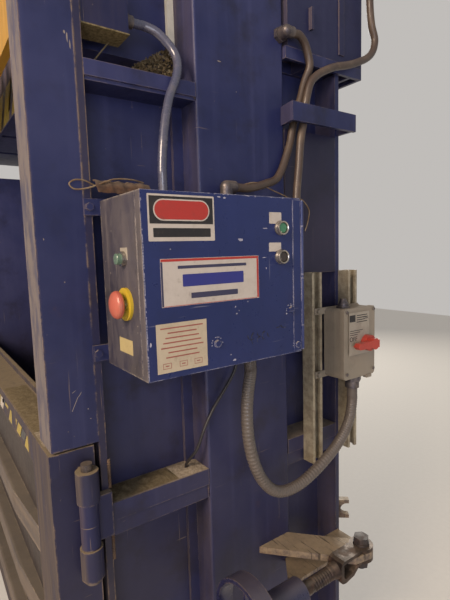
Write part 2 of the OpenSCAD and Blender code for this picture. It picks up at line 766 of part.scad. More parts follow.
module rear_door() color(steel) {
    x = rear_door_x;
    z0 = skid_h + 14;
    z1 = wall_z - 3;
    bar = 44;
    slab(-x, x, rear + 0.5, rear + 10, z0, z1);
    for (i = [0:3])
        translate([0, 0, z0 + (z1 - z0 - bar) * i / 3])
            slab(-x, x, rear + 10, rear + rear_door_t, 0, bar);
    both_sides() slab(x - bar, x, rear + 10, rear + rear_door_t, z0, z1);
    for (z = rear_hinge_z) difference() {
        union() {
            translate([-rear_hinge_x, rear_hinge_y, z]) cylinder(r = rear_hinge_r, h = 60);
            slab(-rear_hinge_x, -x + 2, rear_hinge_y - 8, rear_hinge_y + 8, z, z + 60);
        }
        translate([-rear_hinge_x, rear_hinge_y, z - 1]) cylinder(r = rear_pin_r + pin_gap, h = 62);
    }
}

// Puts a lock's parts at its pivot: the screw points along -Y there, turned by the angle
module at_right_lock(angle) translate([lock_x, lock_y, 0]) rotate(angle) children();
module at_left_lock(angle) translate([-lock_x, left_lock_y, 0]) rotate(180 + angle) children();

// The plate that holds a lock's pivot, and the thinner one below it, which ends at end_y
module lock_bracket(end_y) {
    root = -bracket_w * 0.8 - 50;
    z0 = lock_z - bracket_t / 2;
    difference() {
        union() {
            translate([0, 0, z0]) cylinder(r = ear_r, h = bracket_t);
            translate([0, 0, z0]) linear_extrude(bracket_t)
                polygon([[-lock_out, root - bracket_w * 1.2], [-lock_out, root], [-100, -52],
                    [-30, 16], [ear_r, 0], [24, -52], [-26, -4 - bracket_w]]);
        }
        translate([0, 0, z0 - 1]) cylinder(r = bolt_r, h = bracket_t + 2);
    }
    translate([0, 0, z0 - low_plate_drop - low_plate_t]) linear_extrude(low_plate_t)
        polygon([[-lock_out, root - 10], [low_plate_w - lock_out, root - 80],
            [low_plate_w - lock_out, end_y], [-lock_out, end_y]]);
}

module lock_brackets() color(worn) {
    at_right_lock(0) lock_bracket(lock_from_rear - 7);
    at_left_lock(0) lock_bracket(left_lock_y - post_y1 + 6);
}

module lock_pin() {
    washer_t = 6;
    z1 = lock_z + bracket_t / 2 + 2 * ear_gap + ear_t + washer_t;
    z0 = lock_z - bracket_t / 2 - 2 * ear_gap - ear_t;
    translate([0, 0, z0 - 30]) cylinder(r = bolt_r, h = z1 - z0 + 31);
    translate([0, 0, z1 - washer_t]) cylinder(r = bolt_r + 9, h = washer_t);
    translate([0, 0, z1]) hex(bolt_r * 1.6, 16);
    translate([0, 0, z0 - 24]) hex(bolt_r * 1.6, 24);
}

module lock_pins() color(worn) {
    at_right_lock(0) lock_pin();
    at_left_lock(0) lock_pin();
}

// The forged fork and the threaded screw of a lock. The fork's lower arm drops below the
// bracket plate, so that the screw's axis runs under it.
module lock_screw() {
    h = bracket_t / 2 + ear_gap;
    top = lock_z + h + ear_t;
    low = lock_z - h - ear_t;
    back = -yoke_y - yoke_t;
    difference() {
        union() {
            for (z = [lock_z + h, low])
                translate([0, 0, z]) cylinder(r = ear_r, h = ear_t);
            translate([-fork_w / 2, 0, 0]) rotate([90, 0, 90]) linear_extrude(fork_w)
                polygon([[0, top], [back + 14, top], [back + 4, top - 4], [back, top - 13],
                    [back, low - 14], [back + 6, low - 23], [back + 20, low - 26],
                    [back + 54, low - 19], [-36, low], [0, low], [0, low + ear_t],
                    [-36, low + ear_t], [back + 50, low - 8], [back + 20, low - 14],
                    [-yoke_y, low - 6], [-yoke_y, lock_z + h], [0, lock_z + h]]);
        }
        translate([0, 0, lock_z - 60]) cylinder(r = bolt_r + pin_gap, h = 120);
    }
    translate([0, 0, screw_z]) rotate([90, 0, 0]) rotate_extrude($fn = 24)
        polygon(concat([[0, yoke_y + 4], [fork_w / 2, yoke_y + 4], [fork_w / 2, -back],
            [screw_r, neck_l - back]], [for (i = [1:thread_n])
            for (k = [0:1]) [screw_r - k * thread_d, neck_l - back + (i + k / 2) * screw_pitch]],
            [[screw_r, sleeve_at - 30], [screw_r, screw_l - 6], [screw_r - 6, screw_l],
            [0, screw_l]]));
}

module lock_screw_right() color(worn) at_right_lock(0) lock_screw();
module lock_screw_left() color(worn) at_left_lock(0) lock_screw();

// The hand-wheel: a threaded sleeve, three flat spokes and a rim of flat bar
module hand_wheel() {
    y1 = sleeve_at + sleeve_l;
    translate([0, 0, screw_z]) difference() {
        union() {
            round_y(sleeve_r, -y1, -sleeve_at);
            round_y(sleeve_r - 6, -y1 - wheel_w, -y1 + 1);
            for (a = [30, 150, 270]) rotate([0, a, 0])
                slab(sleeve_r - 12, wheel_r - rim_t / 2, -y1 - wheel_w + 8, -y1 - 6, -5, 5);
            difference() {
                round_y(wheel_r, -y1 - wheel_w, -y1);
                round_y(wheel_r - rim_t, -y1 - wheel_w - 1, -y1 + 1);
            }
        }
        round_y(screw_r + pin_gap, -y1 - wheel_w - 1, -sleeve_at + 1);
    }
}

module hand_wheel_right() color(steel) at_right_lock(0) hand_wheel();
module hand_wheel_left() color(steel) at_left_lock(0) hand_wheel();

// The forked lug that takes a lock's screw, with its open end at -X
module lock_fork(x1) difference() {
    h = keeper_h;
    slab(-8, x1, -keeper_y, keeper_t - keeper_y, screw_z - h, screw_z + h);
    translate([0, 0, screw_z]) round_y(screw_r + keeper_gap, -keeper_y - 1, keeper_t - keeper_y + 1);
    slab(-9, 0, -keeper_y - 1, keeper_t - keeper_y + 1, screw_z - screw_r - keeper_gap,
        screw_z + screw_r + keeper_gap);
}

module lock_keeper_front() color(worn) at_left_lock(180) lock_fork(lock_out);

// A point of the right lock's own frame, in plan, with the lock closed
function turned(x, y) = [lock_x + x * cos(lock_swing) - y * sin(lock_swing),
    lock_y + x * sin(lock_swing) + y * cos(lock_swing)];

module lock_keeper_rear() color(worn) {
    h = keeper_h;
    at_right_lock(lock_swing) lock_fork(32);
    translate([0, 0, screw_z - h]) linear_extrude(2 * h)
        polygon([[rear_door_x, rear + 4], turned(36, keeper_t - keeper_y),
            turned(30, keeper_t - keeper_y), turned(30, -keeper_y), turned(46, -keeper_y),
            [rear_door_x, rear + 30]]);
}

module guard_bar() color(steel) {
    z0 = cover_z1 + 6;
    t = 10;
    translate([0, 0, z0]) linear_extrude(50)
        polygon([[hw, mid_y1 - 12], [hw + 50, mid_y1 - 23], [hw + 60, mid_y1 - 23],
            [hw + 60, rear + 8], [hw + 50, rear + 8], [hw + 50, mid_y1 - 13], [hw, mid_y1 - 1]]);
    slab(hw, hw + 50, rear - 10, rear, z0, z0 + 50);
}

module box_straps() color(steel)
    for (z = [box_z + 7, box_z + box_h - 31]) {
        slab(hw, box_x0, post_y0 - 2, mid_y0 + 180, z, z + 36);
        for (y = [post_y0 + 9, mid_y0 + 165])
            translate([box_x0, y, z + 18]) rotate([0, 90, 0]) hex(9, 6);
    }

module control_box() color(box_blue) difference() {
    z1 = box_z + box_h;
    union() {
        difference() {
            slab(box_x0, box_rim - 1, box_y0, box_y1, box_z, z1);
            slab(box_x0 + box_t, box_rim, box_y0 + box_t, box_y1 - box_t, box_z + box_t,
                z1 - box_t);
        }
        difference() {
            slab(box_rim - 1 - box_t, box_rim - 1, box_y0, box_y1, box_z, z1);
            slab(box_rim - 20, box_rim, box_y0 + 16, box_y1 - 16, box_z + 16, z1 - 16);
        }
    }
    for (p = [[side_button_x, side_button_z], [stop_x, stop_z]])
        translate([p[0], 0, p[1]]) round_y(button_r + button_gap, box_y0 - 1, box_y0 + box_t + 1);
}

module control_box_door() color(box_blue) difference() {
    z1 = box_z + box_h;
    union() {
        difference() {
            slab(box_rim, box_x1, box_y0, box_y1, box_z, z1);
            slab(box_rim - 1, box_x1 - box_t, box_y0 + box_t, box_y1 - box_t, box_z + box_t,
                z1 - box_t);
        }
        slab(box_x1, box_x1 + 2, box_y1 - 24, box_y1 - 0.5, box_z + 4, z1 - 4);
        for (z = [box_z + 64, box_z + 184]) {
            translate([pin_x, pin_y, z]) cylinder(r = 3.8, h = 110, $fn = 24);
            slab(box_x1, box_x1 + 2, box_y1 - 1, pin_y, z, z + 110);
        }
        for (p = [[box_y0 + 158, box_z + 53], [box_y1 - 32, box_z + 103], [box_y1 - 12, box_z + 18]])
            translate([box_x1, p[0], p[1]]) rotate([0, 90, 0]) hex(8, 5);
    }
    for (z = [green_z, black_z])
        translate([0, button_y, z]) round_x(button_r + button_gap, box_x1 - box_t - 1, box_x1 + 1);
    translate([pin_x, pin_y, box_z]) cylinder(r = 1.5 + pin_gap, h = box_h, $fn = 24);
}

module box_hinge_pin() color(box_blue) {
    translate([pin_x, pin_y, box_z + 4]) cylinder(r = 1.5, h = box_h - 8, $fn = 24);
    for (k = [[6, 57], [175, 8], [295, box_h - 301]]) translate([0, 0, box_z + k[0]]) difference() {
        union() {
            translate([pin_x, pin_y, 0]) cylinder(r = 3.8, h = k[1], $fn = 24);
            slab(box_rim - 16, pin_x, box_y1, box_y1 + 2, 0, k[1]);
            slab(pin_x - 2, pin_x, box_y1, pin_y, 0, k[1]);
        }
        translate([pin_x, pin_y, -1]) cylinder(r = 1.5, h = k[1] + 2, $fn = 24);
    }
}

// The back panel with what it carries: two contactors, a relay row, a transformer, terminals
module box_panel() color(zinc) {
    x = box_x0 + box_t + 8;
    for (y = [box_y0 + 30, box_y1 - 42], z = [box_z + 30, box_z + box_h - 42])
        slab(box_x0 + box_t, x, y, y + 12, z, z + 12);
    slab(x, x + 2, box_y0 + 20, box_y1 - 20, box_z + 20, box_z + box_h - 20);
    for (y = [box_y0 + 60, box_y0 + 150])
        slab(x + 2, x + 90, y, y + 64, box_z + 210, box_z + 300);
    slab(x + 2, x + 70, box_y0 + 245, box_y0 + 340, box_z + 200, box_z + 310);
    slab(x + 2, x + 16, box_y0 + 50, box_y1 - 50, box_z + 130, box_z + 165);
    for (i = [0:7])
        slab(x + 16, x + 56, box_y0 + 60 + i * 22, box_y0 + 80 + i * 22, box_z + 125, box_z + 170);
    slab(x + 2, x + 44, box_y0 + 60, box_y1 - 60, box_z + 50, box_z + 85);
}

// A ring round a push button, lying on the face it sits in
module bezel(x0, h) difference() {
    round_x(bezel_r, x0, x0 + h);
    round_x(button_r + button_gap, x0 - 1, x0 + h + 1);
}

module door_bezels() color(dark)
    for (z = [green_z, black_z])
        translate([0, button_y, z]) bezel(box_x1, 6);

module side_bezels() color(dark) {
    translate([side_button_x, box_y0, side_button_z]) rotate(-90) bezel(0, 8);
    translate([stop_x, box_y0, stop_z]) rotate(-90) difference() {
        round_x(collar_r, 0, 6);
        round_x(button_r + button_gap, -1, 7);
    }
}

// A push button with a flat stem, pointing along +X from the face at x0
module button(x0, out, back) {
    round_x(button_r, x0 - back, x0 + out - 1);
    translate([x0 + out - 1, 0, 0]) rotate([0, 90, 0]) cylinder(r1 = button_r, r2 = button_r - 1, h = 1);
}

module green_button() color([0.10, 0.45, 0.22])
    translate([0, button_y, green_z]) button(box_x1, 6 + push + 1, 18);

module black_button() color(dark)
    translate([0, button_y, black_z]) button(box_x1, 6 + push + 1, 18);

module side_button() color([0.16, 0.34, 0.28])
    translate([side_button_x, box_y0, side_button_z]) rotate(-90) button(0, 8 + push + 6, 16);

module stop_button() color(red) translate([stop_x, box_y0, stop_z]) rotate([90, 0, 0])
    rotate_extrude() polygon(concat([[0, -16], [button_r, -16], [button_r, 6 + push + 2],
        [stop_r - 4, 6 + push + 4], [stop_r, 6 + push + 8]],
        [for (a = [0:15:90]) [stop_r * cos(a) , 6 + push + 12 + 12 * sin(a)]]));

// A conduit connector: a hexagonal nut and a round body, along +Z
module connector(r, h) {
    hex(r * 1.35, h * 0.4);
    cylinder(r = r, h = h);
}

module box_fittings() color(zinc) {
    z1 = box_z + box_h;
    up = switch_route[0];
    down = supply_route[len(supply_route) - 1];
    into = valve_route[len(valve_route) - 1];
    side = motor_route[len(motor_route) - 1];
    column = valve_route[0];
    above = switch_route[len(switch_route) - 1];
    motor = motor_route[0];
    translate([up[0], up[1], z1]) connector(15, up[2] - z1);
    translate([into[0], into[1] - 25, z1]) {
        connector(16, into[2] - z1);
        translate([0, 0, into[2] - z1]) {
            sphere(16);
            round_y(16, 0, 25);
        }
    }
    translate([side[0], box_y1, side[2]]) rotate([-90, 0, 0]) connector(17, side[1] - box_y1);
    translate([down[0], down[1], box_z]) rotate([180, 0, 0]) connector(20, box_z - down[2]);
    translate([sensor_route[0][0], sensor_route[0][1], box_z]) rotate([180, 0, 0])
        connector(9, box_z - sensor_route[0][2]);
    translate([hw, column[1] - 22, column[2]]) rotate([0, 90, 0]) connector(16, column[0] - hw);
    translate([column[0], column[1] - 22, column[2]]) {
        sphere(16);
        round_y(15, 0, 22);
    }
    translate([above[0], above[1] - 22, above[2]]) rotate([-90, 0, 0]) connector(14, 22);
    translate([motor[0] - 24, motor[1], motor[2]]) rotate([0, 90, 0]) connector(14, 24);
    translate([supply_route[0][0], supply_route[0][1], disc_z]) rotate([180, 0, 0])
        connector(21, disc_z - supply_route[0][2]);
    translate([disc_x0 + 40, disc_y0 + 40, disc_z + disc_h]) {
        connector(16, 14);
        translate([0, 0, 14]) cylinder(r1 = 14, r2 = 8, h = 14);
    }
}

// A lipped square channel, open to +X, with its slots in the back
module strut(y0, z0, l) translate([hw, y0, z0]) linear_extrude(l) {
    square([strut_t, strut_w]);
    for (m = [0, 1]) translate([0, m * strut_w]) mirror([0, m]) {
        square([strut_w, strut_t]);
        translate([strut_w - strut_t, 0]) square([strut_t, 9.5]);
        translate([strut_w - 8, 9.5 - strut_t]) square([8, strut_t]);
    }
}

module struts() color(zinc) {
    strut(strut_y[0], strut_z, strut_l);
    strut(strut_y[1], strut_z + 6, strut_l - 6);
    for (z = [strut_z + 60, strut_z + strut_l - 70])
        for (y = strut_y)
            translate([hw + strut_t, y + strut_w / 2, z]) rotate([0, 90, 0]) hex(8, 7);
}

module disconnect_case() color(grey) difference() {
    union() {
        plate_yz(disc_x0, disc_x1, disc_y0, disc_z, disc_w, disc_h, disc_r);
        for (z = [disc_z - 2, disc_z + disc_h - 18])
            slab(disc_x0, disc_x0 + 4, strut_y[0] + 8, disc_y0 + disc_w + 16, z, z + 20);
        for (z = [disc_z + 8, disc_z + disc_h - 8], y = [strut_y[0] + 20, disc_y0 + disc_w + 8])
            translate([disc_x0 + 4, y, z]) rotate([0, 90, 0]) hex(8, 8);
    }
    plate_yz(disc_x0 + 3, disc_x1 + 1, disc_y0 + 3, disc_z + 3, disc_w - 6, disc_h - 6, disc_r - 3);
}

module disconnect_cover() color(grey) difference() {
    union() {
        plate_yz(disc_x1, disc_x2, disc_y0 - 2, disc_z, disc_w + 4, disc_h + 2, disc_r);
        translate([0, lever_y, lever_z]) round_x(lever_r + 6, disc_x2, disc_x2 + 4);
        slab(disc_x1 + 2, disc_x2 + 3, disc_y0 + 100, disc_y0 + 122, disc_z - 8, disc_z + 1);
    }
    plate_yz(disc_x1 - 1, disc_x2 - 3, disc_y0 + 3, disc_z + 3, disc_w - 6, disc_h - 6, disc_r - 3);
    translate([0, lever_y, lever_z]) round_x(8 + pin_gap, disc_x2 - 4, disc_x2 + 5);
}

module disconnect_lever() color(red) translate([0, lever_y, lever_z]) {
    round_x(8, disc_x2 - 20, disc_x2 + 6);
    round_x(lever_r, disc_x2 + 4.5, disc_x2 + 22);
    round_x(lever_r - 7, disc_x2 + 22, disc_x2 + 40);
    translate([disc_x2 + 22, 0, 0]) rotate([90, 0, 90]) linear_extrude(18)
        polygon([[18, 12], [-70, 9], [-80, 0], [-70, -9], [18, -12]]);
}

module limit_switch_box() color(worn) {
    difference() {
        slab(hw - 72, hw - 4, post_y1, post_y1 + 108, 2058, 2180);
        slab(hw - 69, hw - 7, post_y1 + 3, post_y1 + 105, 2061, 2177);
    }
    slab(hw - 78, hw, post_y1, post_y1 + 112, 2180, 2184);
}

module tank_outline() polygon([[skin_x, mid_y1], [tank_x1, mid_y1], [tank_x1, tank_y1],
    [tank_x2, tank_y1], [tank_x2, rear], [skin_x, rear]]);

module tank_shelf() color(steel) translate([0, 0, shelf_z0]) {
    linear_extrude(shelf_h) difference() {
        tank_outline();
        offset(delta = -10) tank_outline();
    }
    slab(tank_x2, tank_x1, rear + 42, rear + 54, 0, shelf_h);
    slab(skin_x, tank_x1, mid_y1 + 100, mid_y1 + 112, 0, shelf_h);
}

// The tank's L-shaped outline, drawn in by d
module tank_plan(d) polygon([[tank_x0 + d, tank_y0 + d], [tank_x1 - d, tank_y0 + d],
    [tank_x1 - d, tank_y1 - d], [tank_x2 + d, tank_y1 - d], [tank_x2 + d, rear + 4 + d],
    [tank_x0 + d, rear + 4 + d]]);

module oil_tank() color(steel) translate([0, 0, tank_z]) {
    linear_extrude(3) tank_plan(0);
    linear_extrude(tank_h) difference() {
        tank_plan(0);
        tank_plan(3);
    }
    translate([0, 0, tank_h]) linear_extrude(5) tank_plan(-3);
    slab(tank_x1, tank_x1 + 4, rear - 12, rear + 10, 20, tank_h - 60);
    slab(tank_x1, tank_x1 + 12, tank_y0 + 84, tank_y0 + 92, 60, 120);
    translate([tank_x2 + 230, rear + 50, tank_h + 5]) {
        cylinder(r = 18, h = 30);
        translate([0, 0, 30]) cylinder(r = 34, h = 26);
    }
    translate([tank_x2 + 200, tank_y1, 90]) slab(-12, 12, 0, 10, 0, 160);
}

// The motor, the pump, the valve block and the steel pipes to the cylinder
module power_unit() color(grey) {
    translate([0, 0, frame_h]) slab(250, skin_x, mid_y1 - beam_w, rear, 0, power_t);
    for (x = [480, 640])
        slab(x, x + 40, 250, 420, power_z, motor_z - motor_r * 0.8);
    translate([0, 335, motor_z]) {
        round_x(motor_r, 440, 440 + motor_l);
        for (a = [0:30:330]) rotate([a, 0, 0])
            slab(470, 388 + motor_l, -3, 3, motor_r - 6, motor_r + 10);
        round_x(motor_r - 20, 420, 441);
        round_x(motor_r + 4, 440 + motor_l, 500 + motor_l);
        round_x(34, 340, 421);
    }
    slab(270, 341, 290, 380, power_z, motor_z + 50);
    slab(270, 400, 200, 260, power_z, power_z + 110);
    slab(440 + motor_l - 120, 440 + motor_l - 50, 300, 370, motor_z + motor_r - 4,
        motor_z + motor_r + 60);
    cord([[290, 375, power_z + 90], [290, 470, power_z + 90], [330, rear + 50, power_z + 60],
        [400, rear + 52, power_z - 20], [400, rear + 52, power_z - 90],
        [400, rear + 52, tank_z + tank_h + 5]], 21, 2, 16);
    cord([[300, 205, power_z + 60], [300, 150, power_z + 60], [292, cyl_y + 90, power_z + 120],
        [200, cyl_y + 128, power_z + 300], [40, cyl_y + 170, barrel_top - 160],
        [0, cyl_y + 170, barrel_top - 60], [0, cyl_y + barrel_r + 56, barrel_top - 55],
        [0, cyl_y + barrel_r + 41, barrel_top - 55], [0, cyl_y + barrel_r + 26, barrel_top - 55]],
        12, 2, 12);
    cord([[350, 205, power_z + 60], [350, 150, power_z + 66], [340, 90, power_z + 40],
        [310, 80, power_z - 60], [240, cyl_y + 60, barrel_z + 300],
        [90, cyl_y + 150, barrel_z + 130], [14, cyl_y + 170, barrel_z + 80],
        [0, cyl_y + barrel_r + 56, barrel_z + 74], [0, cyl_y + barrel_r + 41, barrel_z + 74],
        [0, cyl_y + barrel_r + 26, barrel_z + 74]], 12, 2, 12);
}

module switch_conduit() color(zinc) cord(switch_route, 10.5, 2, 12);
module motor_hose() color(rubber) cord(motor_route, hose_r, 2, 10);
module valve_hose() color(rubber) cord(valve_route, hose_r, 2, 12);
module supply_conduit() color(grey) cord(supply_route, 16, 1, 12);
module sensor_cable() color(dark) cord(sensor_route, 4, 2, 8);

base_skids();
base_cross_members();
chamber_floor();
front_posts();
mid_columns();
rear_posts();
side_members();
side_skins();
gate_columns();
rear_cover();
rear_wall();
front_shroud();
crown_beams();
cylinder_barrel();
cylinder_rod();
platen();
platen_shoes();
feed_gate();
gate_handle();
door_frame();
door_outer_skin();
door_inner_skin();
door_ribs();
frame_knuckles();
hinge_pins();
rear_door();
lock_brackets();
lock_pins();
lock_keeper_front();
lock_keeper_rear();
lock_screw_right();
lock_screw_left();
hand_wheel_right();
hand_wheel_left();
guard_bar();
box_straps();
control_box();
control_box_door();
box_hinge_pin();
box_panel();
door_bezels();
side_bezels();
green_button();
black_button();
side_button();
stop_button();
box_fittings();
struts();
disconnect_case();
disconnect_cover();
disconnect_lever();
limit_switch_box();
tank_shelf();
oil_tank();
power_unit();
switch_conduit();
motor_hose();
valve_hose();
supply_conduit();
sensor_cable();
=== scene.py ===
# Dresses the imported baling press: paint, wear, dust, labels, cords and small fittings.
# Everything is in metres, in the part's own frame: -Y is the feed side, +X the control side.
import functools
import math
import random

import bmesh
import bpy
from mathutils import Matrix, Vector, noise


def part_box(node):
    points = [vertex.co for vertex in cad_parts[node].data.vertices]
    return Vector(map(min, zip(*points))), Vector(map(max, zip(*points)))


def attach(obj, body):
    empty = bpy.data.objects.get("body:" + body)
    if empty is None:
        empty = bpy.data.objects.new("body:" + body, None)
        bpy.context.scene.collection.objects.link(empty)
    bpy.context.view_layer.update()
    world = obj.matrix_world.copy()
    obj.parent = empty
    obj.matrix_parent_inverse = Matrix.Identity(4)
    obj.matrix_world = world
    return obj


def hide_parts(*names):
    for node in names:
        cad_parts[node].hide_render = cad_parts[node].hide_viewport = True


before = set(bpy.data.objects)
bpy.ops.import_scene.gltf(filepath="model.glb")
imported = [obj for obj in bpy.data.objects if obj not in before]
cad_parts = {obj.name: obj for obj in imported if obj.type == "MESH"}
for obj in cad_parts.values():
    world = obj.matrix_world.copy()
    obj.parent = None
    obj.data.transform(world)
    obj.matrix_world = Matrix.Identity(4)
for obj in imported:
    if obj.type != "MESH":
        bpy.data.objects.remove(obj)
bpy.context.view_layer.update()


# Base skids and cross members
# Two long channels lie on the floor with flat bars welded across them. They are mild steel in
# black alkyd enamel: a soft gloss, IOR about 1.5, under the floor's dried dirt.
def rgb(code):
    """Turns an sRGB hex colour to linear."""
    parts = [int(code[i:i + 2], 16) / 255 for i in (0, 2, 4)]
    return [p / 12.92 if p <= 0.04045 else ((p + 0.055) / 1.055) ** 2.4 for p in parts] + [1.0]


def add(tree, kind, links=None, out=0, **settings):
    """Adds one shader node with its settings and links, and gives one of its outputs."""
    node = tree.nodes.new("ShaderNode" + kind)
    for key, value in settings.items():
        setattr(node, key, value)
    for key, value in (links or {}).items():
        if isinstance(value, bpy.types.NodeSocket):
            tree.links.new(value, node.inputs[key])
        else:
            node.inputs[key].default_value = value
    return node.outputs[out] if node.outputs else node


def begin(name):
    """A new material, the maker of its nodes, and the object's own coordinates."""
    made = bpy.data.materials.new(name)
    made.use_nodes = True
    made.node_tree.nodes.clear()
    node = functools.partial(add, made.node_tree)
    return made, node, node("TexCoord", out="Object")


def surface(made, node, color, matt, sockets, relief=None, depth=0.0):
    """Ends a material in one shader; its relief, if any, is depth metres deep."""
    sockets = {"Base Color": color, "Roughness": matt, **sockets}
    if relief:
        sockets["Normal"] = node("Bump", {"Strength": 1.0, "Distance": depth, "Height": relief})
    node("OutputMaterial", {0: node("BsdfPrincipled", sockets)})
    return made


SMOOTH = {"interpolation_type": "SMOOTHSTEP"}


def patches(node, at, per_metre, low, high, most=1.0, least=0.0, detail=6.0, rough=0.7,
            turn=(0, 0, 0)):
    """A mask of cloudy patches: least where the noise is under low, most where over high.

    Three numbers for per_metre stretch the patches, and turn slants them."""
    if isinstance(per_metre, tuple):
        at = node("Mapping", {"Vector": at, "Rotation": turn, "Scale": per_metre})
        per_metre = 1.0
    clouds = node("TexNoise", {"Vector": at, "Scale": per_metre, "Detail": detail,
                               "Roughness": rough})
    return node("MapRange", {0: clouds, 1: low, 2: high, 3: least, 4: most}, **SMOOTH)


def coats(node, ground, *layers):
    """Colours laid over a ground one after the other, each through its mask."""
    color = rgb(ground)
    for mask, code in layers:
        color = node("Mix", {0: mask, 6: color, 7: rgb(code)}, 2, data_type="RGBA")
    return color


def enamel(name, base, faded, bare="8C7C6C", dust="8F8273", streaks=0.4, scuffs=0.35, chips=0.5,
           dusty=0.6, rough=0.40, edge=0.004, rust=0.25, grime=0.35, low=0.3, front=0.3,
           gloss=0.35, front_tint="7C6C60", grain_run=(40, 40, 3)):
    """Sprayed enamel on steel; the numbers set how worn each coat is.

    low: how much darker it grows towards the floor.
    front: a tint on the faces of the feed side, partly rub wear and partly painted light from the
    front; where the tint is darker than the paint, it is painted shade.
    grain_run: how that tint is streaked, long in the axis with the small number."""
    made, node, at = begin(name)
    # clouds of 40 cm where the coat has faded, and grain of 2 cm
    broad = node("TexNoise", {"Vector": at, "Scale": 2.3, "Detail": 5.0, "Roughness": 0.6})
    fine = node("TexNoise", {"Vector": at, "Scale": 46.0, "Detail": 6.0, "Roughness": 0.7})
    age = node("MapRange", {0: broad, 1: 0.35, 2: 0.72, 4: 0.75}, **SMOOTH)
    # runs 3 cm wide that wash down the upright faces
    run = patches(node, at, (30, 30, 1), 0.50, 0.74, streaks, detail=5.0, rough=0.5)
    # greasy dirt in clouds of 14 cm
    greasy = patches(node, at, 7.0, 0.48, 0.75, grime, rough=0.65)
    # darker towards the floor
    height = node("SeparateXYZ", {0: at}, 2)
    height = node("MapRange", {0: height, 1: 1.75, 2: 0.65, 4: low}, **SMOOTH)
    soil = node("MapRange", {0: broad, 1: 0.25, 2: 0.60, 3: 0.45}, **SMOOTH)
    soil = node("Math", {0: height, 1: soil}, operation="MULTIPLY")
    # faces of the feed side, tinted: partly rubbed by every load, partly painted light from the
    # front
    toward = node("SeparateXYZ", {0: node("TexCoord", out="Normal")}, 1)
    toward = node("MapRange", {0: toward, 1: -0.55, 2: -0.95, 4: front}, **SMOOTH)
    long = patches(node, at, grain_run, 0.36, 0.58, least=0.35)
    rub_and_painted_light = node("Math", {0: toward, 1: long}, operation="MULTIPLY")
    # scratches a millimetre wide, drawn a little coarser to show: upright, then slanting
    upright = patches(node, at, (230, 230, 5), 0.71, 0.77, detail=2.0, rough=0.5)
    slanting = patches(node, at, (9, 9, 190), 0.72, 0.78, detail=2.0, rough=0.5,
                       turn=(0.5, 0.35, 0.2))
    lines = node("Math", {0: upright, 1: slanting}, operation="MAXIMUM")
    handled = patches(node, at, 3.7, 0.42, 0.62, scuffs, detail=3.0, rough=0.5)
    scratch = node("Math", {0: lines, 1: handled}, operation="MULTIPLY")
    # chips along the folds: the bent normal differs from the flat one only near an edge
    bent = node("Bevel", {"Radius": edge}, samples=4)
    flat = node("NewGeometry", out="Normal")
    fold = node("VectorMath", {0: bent, 1: flat}, "Value", operation="DOT_PRODUCT")
    fold = node("MapRange", {0: fold, 1: 0.995, 2: 0.70, 4: chips}, **SMOOTH)
    torn = node("Mix", {0: 0.5, 2: fine, 3: broad})
    torn = node("MapRange", {0: torn, 1: 0.43, 2: 0.57}, **SMOOTH)
    chip = node("Math", {0: fold, 1: torn}, operation="MULTIPLY")
    # pinhead spots knocked through the coat, and rust that creeps from the chips
    spots = patches(node, at, 95.0, 0.71, 0.76, detail=3.0, rough=0.6)
    spots = node("Math", {0: spots, 1: handled}, operation="MULTIPLY")
    creep = patches(node, at, 11.0, 0.62, 0.78, rust, detail=7.0, rough=0.72)
    # dust that lies on what faces up
    upward = node("SeparateXYZ", {0: flat}, 2)
    upward = node("MapRange", {0: upward, 1: 0.55, 2: 0.95, 4: dusty}, **SMOOTH)
    grain = node("MapRange", {0: fine, 1: 0.20, 2: 0.55, 3: 0.55}, **SMOOTH)
    film = node("Math", {0: upward, 1: grain}, operation="MULTIPLY")
    color = coats(node, base, (age, faded), (run, faded), (greasy, "16131A"), (soil, "302A30"),
                  (rub_and_painted_light, front_tint), (scratch, bare), (chip, bare), (spots, bare),
                  (creep, "5A3A26"), (film, dust))
    matt = node("MapRange", {0: fine, 1: 0.3, 2: 0.7, 3: rough - 0.05, 4: rough + 0.10})
    matt = node("Math", {0: matt, 1: film}, operation="ADD")
    matt = node("Math", {0: matt, 1: rub_and_painted_light}, operation="ADD", use_clamp=True)
    ripple = node("TexNoise", {"Vector": at, "Scale": 9.0, "Detail": 3.0})
    relief = node("Math", {0: ripple, 1: chip}, operation="SUBTRACT")
    relief = node("Math", {0: relief, 1: scratch}, operation="SUBTRACT")
    return surface(made, node, color, matt, {"Specular IOR Level": gloss}, relief, 0.0006)


def dress(paint, fold, *names):
    """Gives CAD nodes their finish, and rounds their folded or rolled edges by fold metres."""
    for name in names:
        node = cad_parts[name]
        node.data.materials.clear()
        node.data.materials.append(paint)
        if fold:
            rounding = node.modifiers.new("rolled_edges", "BEVEL")
            rounding.width = fold
            rounding.segments = 2
            rounding.limit_method = "ANGLE"
            rounding.angle_limit = math.radians(38)
            rounding.harden_normals = True


ENAMEL_BLACK = enamel("alkyd_enamel_black", "17171A", "2B2A2C", dusty=0.8, rust=0.3)
dress(ENAMEL_BLACK, 0.003, "base_skids", "base_cross_members")


